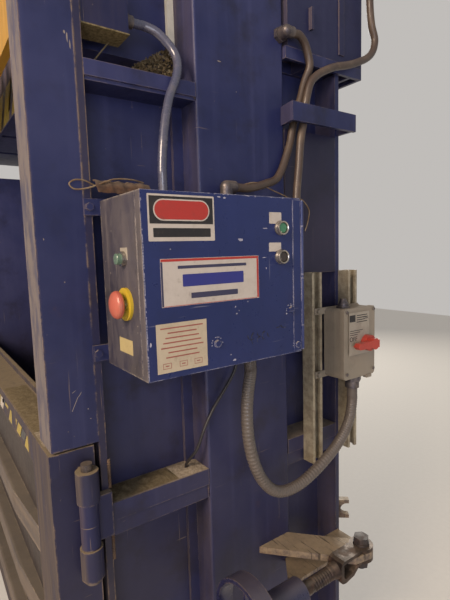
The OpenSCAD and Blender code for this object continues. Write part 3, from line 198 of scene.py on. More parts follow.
# Chamber floor
# Ribbed plates of bare mild steel, laid between the skids and polished by bales. Hot-rolled
# steel reads grey-brown, half metallic, with rust in the corners.
def bare_steel(name, base, tone, rust="5B3B28", rusty=0.4, rough=0.45, metal=0.75, dusty=0.3,
               dust="8F8273", scored=0.0):
    """Steel or zinc with no paint: mottled, stained, a little rust and dust, scored dark."""
    made, node, at = begin(name)
    mottle = node("TexNoise", {"Vector": at, "Scale": 38.0, "Detail": 6.0, "Roughness": 0.7})
    patch = node("MapRange", {0: mottle, 1: 0.35, 2: 0.65}, **SMOOTH)
    stain = patches(node, at, 13.0, 0.50, 0.70, rusty)
    upward = node("SeparateXYZ", {0: node("NewGeometry", out="Normal")}, 2)
    upward = node("MapRange", {0: upward, 1: 0.55, 2: 0.95, 4: dusty}, **SMOOTH)
    lines = patches(node, at, (12, 150, 12), 0.60, 0.68, scored, detail=3.0, rough=0.5,
                    turn=(0.2, 0.1, 0.6))
    color = coats(node, base, (patch, tone), (stain, rust), (upward, dust), (lines, "2A2420"))
    matt = node("MapRange", {0: mottle, 1: 0.2, 2: 0.8, 3: rough - 0.08, 4: rough + 0.15})
    matt = node("Math", {0: matt, 1: stain}, operation="ADD", use_clamp=True)
    clean = node("MapRange", {0: stain, 1: 0.0, 2: 0.5, 3: metal, 4: 0.0})
    relief = node("Math", {0: mottle, 1: stain}, operation="ADD")
    return surface(made, node, color, matt, {"Metallic": clean}, relief, 0.0004)


STEEL_FLOOR = bare_steel("hot_rolled_steel", "5E554D", "3C3836", rusty=0.6, rough=0.55, metal=0.5,
                         dusty=0.8)
dress(STEEL_FLOOR, 0, "chamber_floor")


# Side frames
# Posts and columns of folded plate stand in three rows on each side, with ledges, bars and skin
# plates between them, all welded. Deep blue enamel, darker towards the floor.
ENAMEL_FRAME = enamel("blue_enamel_frame", "1C234C", "383C64", streaks=0.5, scuffs=0.45,
                      chips=0.75, rust=0.2, low=0.5, front=0.15, grime=0.6)
ENAMEL_POST = enamel("blue_enamel_posts", "1E2042", "3C3848", bare="8C7658", streaks=0.6,
                     scuffs=0.5, chips=0.95, dusty=0.9, rust=0.45, low=0.7, edge=0.006)
ENAMEL_COVER = enamel("blue_enamel_cover", "1E1E38", "302C40", streaks=0.3, scuffs=0.25,
                      dusty=0.8, rust=0.15)
ENAMEL_BAY = enamel("blue_enamel_bays", "242A54", "3E4066", streaks=0.5, scuffs=0.4,
                    chips=0.6, dusty=0.9, low=0.6, grime=0.65)
SCENE = bpy.context.scene
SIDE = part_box("front_posts")[1][0]
dress(ENAMEL_FRAME, 0.002, "mid_columns", "rear_posts")
dress(ENAMEL_POST, 0.002, "front_posts")
dress(ENAMEL_COVER, 0.002, "rear_cover")
dress(ENAMEL_BAY, 0.003, "side_members", "rear_wall")
dress(ENAMEL_BAY, 0, "side_skins")


def ring(middle, side, up, radius, sides):
    """The points of a circle round middle, in the plane of side and up."""
    return [middle + radius * (math.cos(math.tau * k / sides) * side
                               + math.sin(math.tau * k / sides) * up) for k in range(sides)]


class Piece:
    """Collects boxes, plates, tubes and turned forms into one mesh that rides one body."""

    def __init__(self, name, body, *paints):
        self.name, self.body, self.paints = name, body, paints
        self.points, self.faces, self.slots, self.rounds = [], [], [], []

    def put(self, points, faces, slot=0, smooth=False):
        start = len(self.points)
        self.points += [tuple(p) for p in points]
        self.faces += [[start + i for i in face] for face in faces]
        self.slots += [slot] * len(faces)
        self.rounds += [smooth] * len(faces)

    def box(self, low, high, slot=0):
        x, y, z = zip(low, high)
        self.put([(x[i], y[j], z[k]) for i in (0, 1) for j in (0, 1) for k in (0, 1)],
                 [(0, 1, 3, 2), (4, 6, 7, 5), (0, 4, 5, 1), (2, 3, 7, 6), (0, 2, 6, 4),
                  (1, 5, 7, 3)], slot)

    def sheet(self, top, under, nx, ny, slot=0, smooth=False):
        """A thin layer: nx by ny cells above and below, closed round its rim."""
        row, count = ny + 1, len(top)
        cells = [(i * row + j, (i + 1) * row + j, (i + 1) * row + j + 1, i * row + j + 1)
                 for i in range(nx) for j in range(ny)]
        rim = ([i * row for i in range(nx + 1)] + [nx * row + j for j in range(1, row)]
               + [i * row + ny for i in range(nx - 1, -1, -1)] + list(range(ny - 1, 0, -1)))
        self.put(top + under, cells + [tuple(count + k for k in reversed(c)) for c in cells]
                 + [(a, b, b + count, a + count) for a, b in zip(rim, rim[1:] + rim[:1])],
                 slot, smooth)

    def prism(self, outline, at, u, v, thick, slot=0):
        """A flat plate: the outline lies in u and v from the point at and grows along u x v."""
        out = Vector(u).cross(Vector(v))
        flat = [Vector(at) + a * Vector(u) + b * Vector(v) for a, b in outline]
        count = len(flat)
        self.put(flat + [p + thick * out for p in flat],
                 [tuple(reversed(range(count))), tuple(range(count, 2 * count))]
                 + [(i, (i + 1) % count, (i + 1) % count + count, i + count)
                    for i in range(count)], slot)

    def tube(self, path, radius, sides=12, slot=0):
        """A round tube along a path; radius is a number or a function of the point's index."""
        rings = []
        side = None
        for i, p in enumerate(path):
            run = (path[min(i + 1, len(path) - 1)] - path[max(i - 1, 0)]).normalized()
            side = side or Vector((0.995, 0.0995, 0.01))
            side = (side - side.dot(run) * run).normalized()
            up = run.cross(side)
            rings += ring(p, side, up, radius(i) if callable(radius) else radius, sides)
        walls = [(i * sides + k, (i + 1) * sides + k, (i + 1) * sides + (k + 1) % sides,
                  i * sides + (k + 1) % sides)
                 for i in range(len(path) - 1) for k in range(sides)]
        last = (len(path) - 1) * sides
        self.put(rings, walls + [tuple(range(sides)),
                                 tuple(reversed(range(last, last + sides)))], slot, True)

    def bead(self, start, end, radius, slot=0):
        """A hand-laid weld: overlapping ripples about half a radius apart."""
        start, end = Vector(start), Vector(end)
        count = max(6, int((end - start).length / radius * 2))
        path = [start.lerp(end, i / count) for i in range(count + 1)]
        self.tube(path, lambda i: radius * (0.82 + 0.22 * (i % 3 == 0)
                                            + 0.14 * math.sin(i * 1.7)), 8, slot)

    def turned(self, profile, at, axis, sides=24, slot=0):
        """A turned form: profile gives (radius, height along the axis) from the point at."""
        axis = Vector(axis).normalized()
        side = axis.orthogonal().normalized()
        up = axis.cross(side)
        rings = [p for r, h in profile for p in ring(Vector(at) + h * axis, side, up, r, sides)]
        last = (len(profile) - 1) * sides
        self.put(rings, [(j * sides + k, j * sides + (k + 1) % sides,
                          (j + 1) * sides + (k + 1) % sides, (j + 1) * sides + k)
                         for j in range(len(profile) - 1) for k in range(sides)]
                 + [tuple(reversed(range(sides))), tuple(range(last, last + sides))], slot, True)

    def done(self, bevel=0.0):
        """Makes the mesh, turns its faces outward, and binds it to its body."""
        mesh = bpy.data.meshes.new(self.name)
        mesh.from_pydata(self.points, [], self.faces)
        for paint in self.paints:
            mesh.materials.append(paint)
        mesh.polygons.foreach_set("material_index", self.slots)
        mesh.polygons.foreach_set("use_smooth", self.rounds)
        work = bmesh.new()
        work.from_mesh(mesh)
        bmesh.ops.recalc_face_normals(work, faces=work.faces)
        work.to_mesh(mesh)
        work.free()
        mesh.set_sharp_from_angle(angle=math.radians(50))
        made = bpy.data.objects.new(self.name, mesh)
        SCENE.collection.objects.link(made)
        if bevel:
            rounding = made.modifiers.new("rounded", "BEVEL")
            rounding.width = bevel
            rounding.segments = 2
        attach(made, self.body)
        return made


# Weld beads of the side frame
# Hand-laid fillets of mild steel where the ledge and the top bar meet the posts and columns.
# Painted over with the frame, so they are blue-black with brown along their toes.
WELD = bare_steel("painted_weld", "2A2A40", "4A3E38", rusty=0.5, rough=0.5, metal=0.2)
LEDGE_Z = (0.914, 0.997)
TOP_BAR_Z = (1.944, 1.986)
POST_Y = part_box("front_posts")[1][1]
COLUMN_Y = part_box("mid_columns")[0][1]
WELD_R, WELD_INSET = 0.0028, 0.004
welds = Piece("frame_welds", "frame", WELD)
for z0, z1 in (LEDGE_Z, TOP_BAR_Z):
    for y in (POST_Y + 0.001, COLUMN_Y - 0.001):
        ends = [(SIDE - WELD_INSET, y, z) for z in (z0 + WELD_INSET, z1 - WELD_INSET)]
        welds.bead(*ends, WELD_R)
welds.done()


# Dust on the ledge and scraps on the bar
# Ground paper and floor dust have packed into a pale crust on the ledge over the lower bay,
# brightest at its right end, and chaff has heaped up behind the bar of the window above.
def grit(name, code, tone, size):
    """Packed dust or pulp: matt, crumbly; size is the crumbs' size in metres."""
    made, node, at = begin(name)
    crumbs = node("TexNoise", {"Vector": at, "Scale": 1 / size, "Detail": 6.0,
                               "Roughness": 0.7})
    patch = node("MapRange", {0: crumbs, 1: 0.38, 2: 0.62}, **SMOOTH)
    color = coats(node, code, (patch, tone))
    return surface(made, node, color, 0.95, {"Specular IOR Level": 0.2}, crumbs, 0.0015)


DUST = grit("packed_dust", "6A5E48", "80735A", 0.007)
DUST_PALE = grit("packed_dust_pale", "8A7E6C", "A89C8A", 0.008)
CHAFF = grit("paper_chaff", "463A2A", "6E5F47", 0.008)


def crust(piece, x, y, z, thick, slot=0, steps=(8, 40)):
    """A bed of dust over the rectangle x by y, lying on z, thickest away from its edges."""
    nx, ny = steps
    top = []
    for i in range(nx + 1):
        for j in range(ny + 1):
            px = x[0] + (x[1] - x[0]) * i / nx
            py = y[0] + (y[1] - y[0]) * j / ny
            rim = min(i, nx - i, j, ny - j)
            here = Vector((px, py, z))
            lump = 0.5 + noise.noise(here * 60) + 0.6 * noise.noise(here * 25)
            top.append((px, py, z + 0.0002 + thick * max(0.05, lump) * min(1, rim / 2)))
    piece.sheet(top, [(px, py, z) for px, py, pz in top], nx, ny, slot, True)


LEDGE_X = 0.783
ledge_dust = Piece("ledge_dust", "frame", DUST, DUST_PALE)
crust(ledge_dust, (LEDGE_X, 0.856), (POST_Y + 0.002, -0.150), LEDGE_Z[1], 0.004)
crust(ledge_dust, (LEDGE_X, 0.858), (-0.150, COLUMN_Y - 0.002), LEDGE_Z[1], 0.005, 1, (8, 16))
ledge_dust.done()

scraps = Piece("window_scraps", "frame", CHAFF, DUST)
draw = random.Random(7)
HEAP_X, HEAP_Y, HEAP_LONG, HEAP_Z = 0.784, -0.148, 0.070, TOP_BAR_Z[1] + 0.003
SCRAP_COUNT, SCRAP_THICK = 1100, 0.0006
for count in range(SCRAP_COUNT):
    along = draw.uniform(-1, 1)
    top = (0.060 + 0.045 * along) * min(1, 2.2 * (1 + along))
    rise = draw.random()
    middle = Vector((HEAP_X + draw.uniform(0, 0.014 + 0.032 * (1 - rise)),
                     HEAP_Y + HEAP_LONG * along, HEAP_Z + top * rise))
    u = Vector([draw.uniform(-1, 1) for axis in "xyz"]).normalized()
    v = u.orthogonal().normalized()
    long, wide = draw.uniform(0.004, 0.014), draw.uniform(0.0015, 0.005)
    scraps.prism([(-long / 2, -wide / 2), (long / 2, -wide / 2), (long / 2, wide / 2),
                  (-long / 2, wide / 2)], middle, u, v, SCRAP_THICK, count % 4 == 0)
crust(scraps, (0.772, 0.856), (POST_Y + 0.003, COLUMN_Y - 0.003), TOP_BAR_Z[1], 0.003, 1, (6, 40))
scraps.tube([Vector((0.800, -0.296, 2.003)), Vector((0.800, -0.246, 2.066))], 0.0018, 6, 1)
scraps.done()

# Gate columns
# Slotted boxes of thick plate stand on the sill and guide the lifting gate. The same enamel as
# the frame, but their front faces are tan with bare bright corners: rubbed by each load, and
# lightened with painted light from the front.
ENAMEL_COLUMN = enamel("blue_enamel_columns", "1B224A", "383C62", bare="9A8468", streaks=0.55,
                       scuffs=0.5, chips=0.9, dusty=0.8, edge=0.007, low=0.35,
                       front=0.85, front_tint="766E6A", grain_run=(30, 30, 9))
dress(ENAMEL_COLUMN, 0.004, "gate_columns")

# Crown, cylinder and ram
# Welded beams across the top carry the hydraulic cylinder. Its rod is ground steel, hard-chromed
# to a near mirror, and pushes the ribbed platen, which slides on waxy moulded nylon shoes.
CHROME = bare_steel("hard_chrome", "C8C8CC", "B0B0B4", rusty=0.02, rough=0.14, metal=1.0,
                    dusty=0.1)


def moulded(name, code, rough, soil=0.12, dirt="4A4038", coat=0.0):
    """Plastic, rubber or print: one colour with faint dirt in specks of 17 mm and clouds."""
    made, node, at = begin(name)
    spots = node("TexNoise", {"Vector": at, "Scale": 1 / 0.0167, "Detail": 5.0})
    cloud = patches(node, at, 14.0, 0.42, 0.78, soil * 2)
    specks = node("MapRange", {0: spots, 1: 0.62, 2: 0.74, 4: soil * 1.6}, **SMOOTH)
    color = coats(node, code, (cloud, dirt), (specks, dirt))
    matt = node("MapRange", {0: spots, 1: 0.3, 2: 0.7, 3: rough - 0.05, 4: rough + 0.1})
    return surface(made, node, color, matt, {"Coat Weight": coat}, spots, 0.0002)


NYLON = moulded("waxed_nylon", "C9C5B8", 0.5)
dress(ENAMEL_FRAME, 0.002, "crown_beams")
dress(ENAMEL_BLACK, 0, "cylinder_barrel")
dress(CHROME, 0, "cylinder_rod")
dress(ENAMEL_BAY, 0.002, "platen")
dress(NYLON, 0, "platen_shoes")

# Lifting gate
# A frame of flat bar round a sheet with rows of holes, which slides in the columns' slots. It is
# sprayed in yellow enamel, soft in gloss and dirty, and has a handle of bent round bar.
ENAMEL_YELLOW = enamel("yellow_enamel_gate", "B98A1E", "A67F2C", bare="6B5F55", scuffs=0.5,
                       chips=0.8, rust=0.35)
dress(ENAMEL_YELLOW, 0.002, "feed_gate")
dress(ENAMEL_BLACK, 0, "gate_handle")

# Front shroud and its tape
# A plate that closes the front over the feed opening, in blue enamel. Its lowest hand's width
# carries hazard tape: printed vinyl, faded, black bars on yellow, torn at its lower edge.
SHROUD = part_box("front_shroud")
dress(enamel("blue_enamel_shroud", "1C2248", "343A62", dusty=0.8, scuffs=0.5, streaks=0.5,
             front=0.5), 0.002, "front_shroud")
VINYL_YELLOW = moulded("vinyl_yellow", "A08C3A", 0.5, soil=0.35)
VINYL_BLACK = moulded("vinyl_black", "1B1A1D", 0.38, soil=0.22)
VINYL_WHITE = moulded("vinyl_white", "BDB4AA", 0.42, soil=0.16, dirt="6A5A4A")
TAPE_THICK, TAPE_PITCH, TAPE_SLIVER = 0.0003, 0.055, 0.004


def hazard_tape(name, body, x0, x1, z0, z1, face, torn):
    """Tape on a face that looks along -Y, with slanting bars; torn bits are left out."""
    tape = Piece(name, body, VINYL_YELLOW, VINYL_BLACK, VINYL_WHITE)
    pick = random.Random(3)
    high = z1 - z0
    count = int((x1 - x0 + high) / TAPE_PITCH) + 1
    for i in range(-2, count + 1):
        left, right = x0 + i * TAPE_PITCH, x0 + (i + 1) * TAPE_PITCH
        low = z0 + (high * pick.uniform(0.1, 0.75) if pick.random() < torn else 0)
        lean = z1 - low
        ends = [(left, low), (right, low), (right + lean, z1), (left + lean, z1)]
        ends = [(min(max(x, x0), x1), z) for x, z in ends]
        if ends[1][0] - ends[0][0] + ends[2][0] - ends[3][0] < TAPE_SLIVER:
            continue
        slot = 2 if pick.random() < torn * 0.2 else i % 3 == 1
        tape.prism(ends, (0, face, 0), (1, 0, 0), (0, 0, 1), TAPE_THICK, slot)
    tape.done()


hazard_tape("shroud_tape", "frame", SHROUD[0][0] + 0.004, SHROUD[1][0] - 0.004,
            SHROUD[0][2] + 0.004, SHROUD[0][2] + 0.11, SHROUD[0][1], 0.25)

# Chamber door
# A welded leaf: two posts, a sill rail, ribs of folded plate and a skin with slots for the bale
# ties. Cardboard has rubbed the ribs to grey steel; their faces and the posts' that look along -Y
# are tan, partly from that rubbing and partly painted light from the front. The sides keep a
# dirty blue.
ENAMEL_DOOR = enamel("blue_enamel_door", "1B1E40", "2C2C46", bare="9A8468", dust="84765F",
                     chips=0.9, dusty=0.95, rust=0.3, rough=0.45, edge=0.007, grime=0.5,
                     low=0.35, front=0.8, front_tint="5A5048")
ENAMEL_RIBS = enamel("rubbed_enamel_ribs", "3C3A3E", "6A6058", bare="C0AE96", dust="6E6456",
                     scuffs=0.8, chips=0.95, rust=0.35, rough=0.42, edge=0.006, grime=0.9,
                     low=0.15, front=0.7, front_tint="766A5E", gloss=0.5,
                     grain_run=(3, 40, 40))
ENAMEL_DOOR_SKIN = enamel("greasy_enamel_skin", "221F20", "3A342E", bare="7A6A56", rust=0.4,
                          dusty=0.8, rough=0.5, grime=0.7, front=0.12)
DOOR_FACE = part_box("door_frame")[0][1]
DOOR_HIGH = 1.150
dress(ENAMEL_DOOR, 0.004, "door_frame")
dress(ENAMEL_RIBS, 0.004, "door_ribs")
dress(ENAMEL_DOOR_SKIN, 0, "door_outer_skin")
dress(STEEL_FLOOR, 0, "door_inner_skin")
TAPE_Z = (1.080, 1.122)
SILL_Y = (-0.458, -0.390)
hazard_tape("sill_tape_long", "door", 0.185, 0.415, *TAPE_Z, DOOR_FACE, 0.35)
hazard_tape("sill_tape_short", "door", 0.480, 0.641, *TAPE_Z, DOOR_FACE, 0.45)
sill_dust = Piece("sill_dust", "door", DUST, DUST_PALE)
crust(sill_dust, (0.25, 0.70), SILL_Y, DOOR_HIGH, 0.003, 0, (40, 8))
crust(sill_dust, (0.70, 0.80), SILL_Y, DOOR_HIGH, 0.002, 1, (12, 8))
sill_dust.done()

# Hinge
# Three knuckles of thick tube turn on one pin; the frame's pair is welded to the post by leaves.
# Blue enamel, gone from every rim, with dirt and rust packed round the welds.
ENAMEL_HINGE = enamel("blue_enamel_hinge", "181B40", "282A4C", bare="8C7A60", scuffs=0.5,
                      chips=0.95, dusty=0.95, rust=0.45, edge=0.007, grime=0.5, low=0.1,
                      front=0.25)
STEEL_PIN = bare_steel("greasy_steel_pin", "6E625A", "3D3838", rusty=0.45, rough=0.38, metal=0.5,
                       dusty=0.7)
dress(ENAMEL_HINGE, 0.003, "frame_knuckles")
dress(STEEL_PIN, 0.0015, "hinge_pins")
hinge_welds = Piece("hinge_welds", "frame", bare_steel("rusty_weld", "4A3A2E", "6A5440",
                                                       rusty=0.7, rough=0.8, metal=0.05))
HINGE_WELD_R = 0.004
for leaf_z in ((0.862, 0.930), (1.040, 1.107), (0.262, 0.330), (0.440, 0.507)):
    ends = [(SIDE + 0.001, POST_Y + 0.002, z) for z in leaf_z]
    hinge_welds.bead(*ends, HINGE_WELD_R)
hinge_welds.done()

# Rear door
# The leaf through which the bale leaves: plate with ribs welded across it, like the chamber
# door, in the same duller blue enamel as the bays.
dress(ENAMEL_BAY, 0.003, "rear_door")

# Door locks
# Each is a forged fork on a hex pin between two bracket plates, a coarse screw with a long nut
# sleeve and a hand-wheel. Forged steel, its paint gone: tan on top, black grease in the thread.
STEEL_FORGED = bare_steel("forged_steel", "8C7C68", "5A504C", rusty=0.35, rough=0.5,
                          metal=0.25, dusty=0.6, dust="9C8C74", scored=0.75)
STEEL_THREAD = bare_steel("greased_thread", "4A3C34", "221C1C", rusty=0.5, rough=0.35, metal=0.6)
STEEL_BOLT = bare_steel("oiled_black_bolts", "403A38", "2A282C", rusty=0.35, rough=0.42,
                        metal=0.35, dusty=0.12, scored=0.4)
ENAMEL_WHEEL = enamel("blue_enamel_wheels", "1C2044", "2E3050", bare="8C7A64", dusty=0.15,
                      chips=0.7, scuffs=0.6, rust=0.35, edge=0.006, gloss=0.7, front=0.0,
                      rough=0.26)
dress(STEEL_FORGED, 0.003, "lock_brackets", "lock_keeper_front", "lock_keeper_rear")
dress(STEEL_BOLT, 0.002, "lock_pins")
dress(STEEL_THREAD, 0.002, "lock_screw_right", "lock_screw_left")
dress(ENAMEL_WHEEL, 0.002, "hand_wheel_right", "hand_wheel_left")

# Guard bar
# A bar of flat steel with its ends bent and welded to the rear cover, which it stands off to
# keep the two hoses in. Blue enamel like the columns.
dress(ENAMEL_FRAME, 0.002, "guard_bar")

# Control box
# A folded sheet-steel box hangs on two straps; its lid turns on a pin at the right and is held
# by hex screws. Powder-coated a brighter blue, chipped to pale primer along every fold.
ENAMEL_BOX = enamel("powder_coat_box", "172452", "232F64", bare="A8A6B0", dust="8C8378",
                    streaks=0.25, scuffs=0.3, chips=0.85, dusty=0.85, rust=0.06, rough=0.30,
                    grime=0.25, low=0.12, front=0.0, gloss=0.45)
# a paler, greyer copy of the box paint for its side that faces the feed: rub wear and painted
# light
ENAMEL_BOX_SIDE_WORN_LIT = enamel("powder_coat_side_worn_lit", "1E1E34", "5A5458", bare="B0A698", streaks=0.8,
                         scuffs=0.9, chips=0.95, dusty=0.5, rust=0.15, rough=0.38, edge=0.006,
                         grime=1.0, front=0.28, front_tint="6A625E", gloss=0.5,
                         grain_run=(30, 30, 14))
LID_FACE = 1.072
BOX_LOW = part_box("control_box")[0]
dress(ENAMEL_FRAME, 0.0015, "box_straps")
dress(ENAMEL_BOX, 0.0025, "control_box", "box_hinge_pin")
dress(ENAMEL_BOX, 0.003, "control_box_door")
# the side that faces the feed is paler and greyer: rubbed by hands to a grey primer, partly
# painted light from the front; so its faces change paint
for box_node in ("control_box", "control_box_door"):
    box_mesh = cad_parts[box_node].data
    box_mesh.materials.append(ENAMEL_BOX_SIDE_WORN_LIT)
    for face in box_mesh.polygons:
        if face.normal.y < -0.9 and face.center.y < BOX_LOW.y + 0.02:
            face.material_index = 1

# Box fittings and inner panel
# Die-cast zinc glands and elbows are screwed to the box and the hoses: grey, stained, half
# metallic. The panel inside is zinc-coated sheet with its switchgear on it.
ZINC_CAST = bare_steel("die_cast_zinc", "6C6460", "46424A", rusty=0.3, rough=0.40, metal=0.6,
                       dusty=0.5)
dress(ZINC_CAST, 0.001, "box_fittings")
dress(ZINC_CAST, 0, "box_panel")

# Push buttons
# Moulded ABS caps with a smooth sheen in bezels of satin chrome, nutted into the sheet: green
# and black on the lid, a lens and a mushroom stop on the side. The stop sits in a yellow
# collar, and its red has faded to salmon.
CHROME_SATIN = bare_steel("satin_chrome", "B4AEA6", "8A857F", rusty=0.04, rough=0.22, metal=0.85,
                          dusty=0.1)
ABS_GREEN = moulded("abs_green", "3E7A58", 0.28, soil=0.14, coat=0.4)
ABS_BLACK = moulded("abs_black", "2A211E", 0.32, soil=0.14, coat=0.3)
ABS_LENS = moulded("abs_lens", "5E7A68", 0.25, soil=0.25, dirt="5A5248", coat=0.5)
ABS_RED = moulded("abs_red", "AE5A48", 0.42, soil=0.22, dirt="8A6A54", coat=0.2)
ABS_YELLOW = moulded("abs_yellow", "C4A62E", 0.42, soil=0.16, dirt="7A6A3A")
dress(CHROME_SATIN, 0, "door_bezels")
dress(CHROME_SATIN, 0.0015, "side_bezels")
dress(ABS_GREEN, 0, "green_button")
dress(ABS_BLACK, 0, "black_button")
dress(ABS_LENS, 0, "side_button")
dress(ABS_RED, 0, "stop_button")
STOP_AT = (0.988, 1.476)
SIDE_BUTTON_LOW = 1.52
COLLAR_R, COLLAR_BACK, NECK_FRONT = 0.024, -0.3265, -0.3345
# the stop's collar is yellow plastic among the bezels, and its red cap has a chromed neck
collar_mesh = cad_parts["side_bezels"].data
collar_mesh.materials.append(ABS_YELLOW)
for face in collar_mesh.polygons:
    reach = math.hypot(face.center.x - STOP_AT[0], face.center.z - STOP_AT[1])
    if face.center.z < SIDE_BUTTON_LOW and (reach > COLLAR_R or face.center.y > COLLAR_BACK):
        face.material_index = 1
neck_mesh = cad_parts["stop_button"].data
neck_mesh.materials.append(CHROME_SATIN)
for face in neck_mesh.polygons:
    if face.center.y > NECK_FRONT and face.normal.y > -0.5:
        face.material_index = 1

BUTTON_Y, BUTTON_Z = 0.016, (1.623, 1.559)
BEZEL = ((0.0118, 0.001), (0.0165, 0.0005), (0.0168, 0.004), (0.0158, 0.0055), (0.0158, 0.0110),
         (0.0150, 0.0135), (0.0136, 0.0140), (0.0120, 0.0128), (0.0118, 0.001))
bezels = Piece("lid_bezels", "box_lid", CHROME_SATIN)
for z in BUTTON_Z:
    bezels.turned(BEZEL, (LID_FACE, BUTTON_Y, z), (1, 0, 0), 36)
bezels_object = bezels.done()
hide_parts("door_bezels")

# Box labels
# Printed vinyl on the lid and the side: plates, borders, fields and bars, with nothing to read.
# Each layer is a film of 0.2 mm, and the white has yellowed a little.
VINYL_GREY = moulded("vinyl_grey", "A29A8C", 0.42, soil=0.2)
VINYL_CREAM = moulded("vinyl_cream", "B8AA92", 0.5, soil=0.2, dirt="7A6A54")
VINYL_RED = moulded("vinyl_red", "A8322C", 0.4)
VINYL_BLUE = moulded("vinyl_blue", "2B2F78", 0.42, soil=0.08)
VINYL_NAVY = moulded("vinyl_navy", "34344E", 0.45, soil=0.08)
INK_DULL_RED = moulded("ink_dull_red", "96544A", 0.5, soil=0.15)
INK_MARKER = moulded("ink_marker", "101018", 0.35, soil=0.05)
PRIMER = moulded("primer_pale", "9C9AA8", 0.5, soil=0.15)
LAYER = 0.0002


def rounded(width, height, radius, steps=6):
    """The outline of a rectangle with round corners, from its lower left corner."""
    corners = ((width - radius, height - radius, 0), (radius, height - radius, 90),
               (radius, radius, 180), (width - radius, radius, 270))
    return [(x + radius * math.cos(math.radians(a + 90 * k / steps)),
             y + radius * math.sin(math.radians(a + 90 * k / steps)))
            for x, y, a in corners for k in range(steps + 1)]


def film(piece, y, z, layer, slot, radius=0.0006, face=LID_FACE):
    """A flat film from y[0] to y[1] and z[0] to z[1], on the given layer of the face."""
    piece.prism(rounded(y[1] - y[0], z[1] - z[0], radius),
                (face + layer * LAYER, y[0], z[0]), (0, 1, 0), (0, 0, 1), LAYER, slot)


sign = Piece("sign_plate", "box_lid", VINYL_WHITE, VINYL_BLACK, VINYL_RED)
film(sign, (-0.306, -0.160), (1.597, 1.684), 0, 0, 0.002)
film(sign, (-0.3025, -0.1635), (1.6295, 1.6805), 1, 1)
film(sign, (-0.2945, -0.1715), (1.6350, 1.6755), 2, 0, 0.0202)
film(sign, (-0.2920, -0.1740), (1.6375, 1.6730), 3, 2, 0.0177)
film(sign, (-0.2960, -0.1700), (1.6045, 1.6215), 1, 1, 0.001)
sign.done()

plate = Piece("service_label", "box_lid", VINYL_WHITE, VINYL_RED, VINYL_BLUE, VINYL_NAVY)
film(plate, (-0.285, -0.048), (1.472, 1.564), 0, 0, 0.001)
film(plate, (-0.284, -0.049), (1.5585, 1.5632), 1, 1)
film(plate, (-0.0535, -0.0488), (1.4735, 1.5580), 1, 1)
film(plate, (-0.2845, -0.2805), (1.4730, 1.5580), 1, 3)
film(plate, (-0.2800, -0.0540), (1.4727, 1.4737), 1, 1, 0.0002)
film(plate, (-0.2480, -0.0820), (1.5440, 1.5500), 1, 3)
film(plate, (-0.2380, -0.0900), (1.5090, 1.5330), 1, 2, 0.002)
film(plate, (-0.2200, -0.1060), (1.4850, 1.4960), 1, 3)
plate.done()

notice = Piece("cream_notice", "box_lid", VINYL_CREAM, INK_DULL_RED)
film(notice, (-0.300, -0.187), (1.345, 1.441), 0, 0)
for row in range(7):
    inset = 0.006 + 0.005 * (row * 7 % 4)
    film(notice, (-0.297 + inset, -0.190 - inset),
         (1.4305 - row * 0.0095, 1.4330 - row * 0.0095), 1, 1, 0.0004)
BOX_Z, BOX_WIDE, STRIP = (1.3530, 1.3640), 0.018, 0.0009
for left in (-0.288, -0.252, -0.218):
    right = left + BOX_WIDE
    for y, z in (((left, right), (BOX_Z[0], BOX_Z[0] + STRIP)),
                 ((left, right), (BOX_Z[1] - STRIP, BOX_Z[1])),
                 ((left, left + STRIP), BOX_Z), ((right - STRIP, right), BOX_Z),
                 ((left + 0.005, left + 0.013), (1.3575, 1.3595))):
        film(notice, y, z, 1, 1, 0.0003)
notice.done()

legends = Piece("legend_plates", "box_lid", VINYL_WHITE)
film(legends, (-0.015, 0.0205), (1.6325, 1.6575), 0, 0, 0.0015)
film(legends, (-0.017, 0.0185), (1.5715, 1.5910), 0, 0, 0.0015)
legends.done()

VINYL_BUFF = moulded("vinyl_buff", "AE9E70", 0.5, soil=0.2, dirt="7A6A54")
side_marks = Piece("side_labels", "frame", VINYL_BUFF, VINYL_GREY)
for x, z, slot in (((0.939, 1.007), (1.3735, 1.4035), 0), ((0.968, 1.004), (1.564, 1.588), 1)):
    side_marks.prism(rounded(x[1] - x[0], z[1] - z[0], 0.001), (x[0], BOX_LOW.y, z[0]),
                     (1, 0, 0), (0, 0, 1), LAYER, slot)
side_marks.done()

# Marks on the lid
# Felt-marker strokes of glossy black ink, and chips knocked through the coat to the pale matt
# primer: a row down the left fold, rings round the screws and a few flakes by the labels. The
# rows along the folds and two thin dashes by the buttons are also painted highlights.
marks = Piece("marker_strokes", "box_lid", INK_MARKER)
STROKES = ((-0.082, 1.392, -0.076, 1.382), (-0.076, 1.382, -0.066, 1.384),
           (-0.066, 1.397, -0.069, 1.372), (-0.056, 1.394, -0.047, 1.386),
           (-0.047, 1.386, -0.056, 1.375), (-0.034, 1.396, -0.041, 1.384),
           (-0.041, 1.384, -0.033, 1.377), (-0.026, 1.391, -0.020, 1.380),
           (0.001, 1.400, 0.012, 1.404), (0.014, 1.403, 0.030, 1.398))
for y0, z0, y1, z1 in STROKES:
    bow = Vector((0, (z1 - z0) * 0.22, (y0 - y1) * 0.22))
    stroke = [Vector((LID_FACE, y0, z0)).lerp(Vector((LID_FACE, y1, z1)), k / 6)
              + bow * math.sin(math.pi * k / 6) for k in range(7)]
    marks.tube(stroke, lambda i: 0.0008 + 0.0004 * math.sin(i), 6)
marks.done()

CHIP_THICK = LAYER * 0.75
SCREWS = ((-0.162, 1.386), (0.046, 1.436), (0.066, 1.351))
SCREW_RING = 0.0135
LEFT_FOLD, TOP_FOLD = -0.3182, 1.6900
FOLD_LOW, FOLD_PITCH = 1.338, 0.0054
chips = Piece("lid_chips_and_highlights", "box_lid", PRIMER)
fall = random.Random(11)


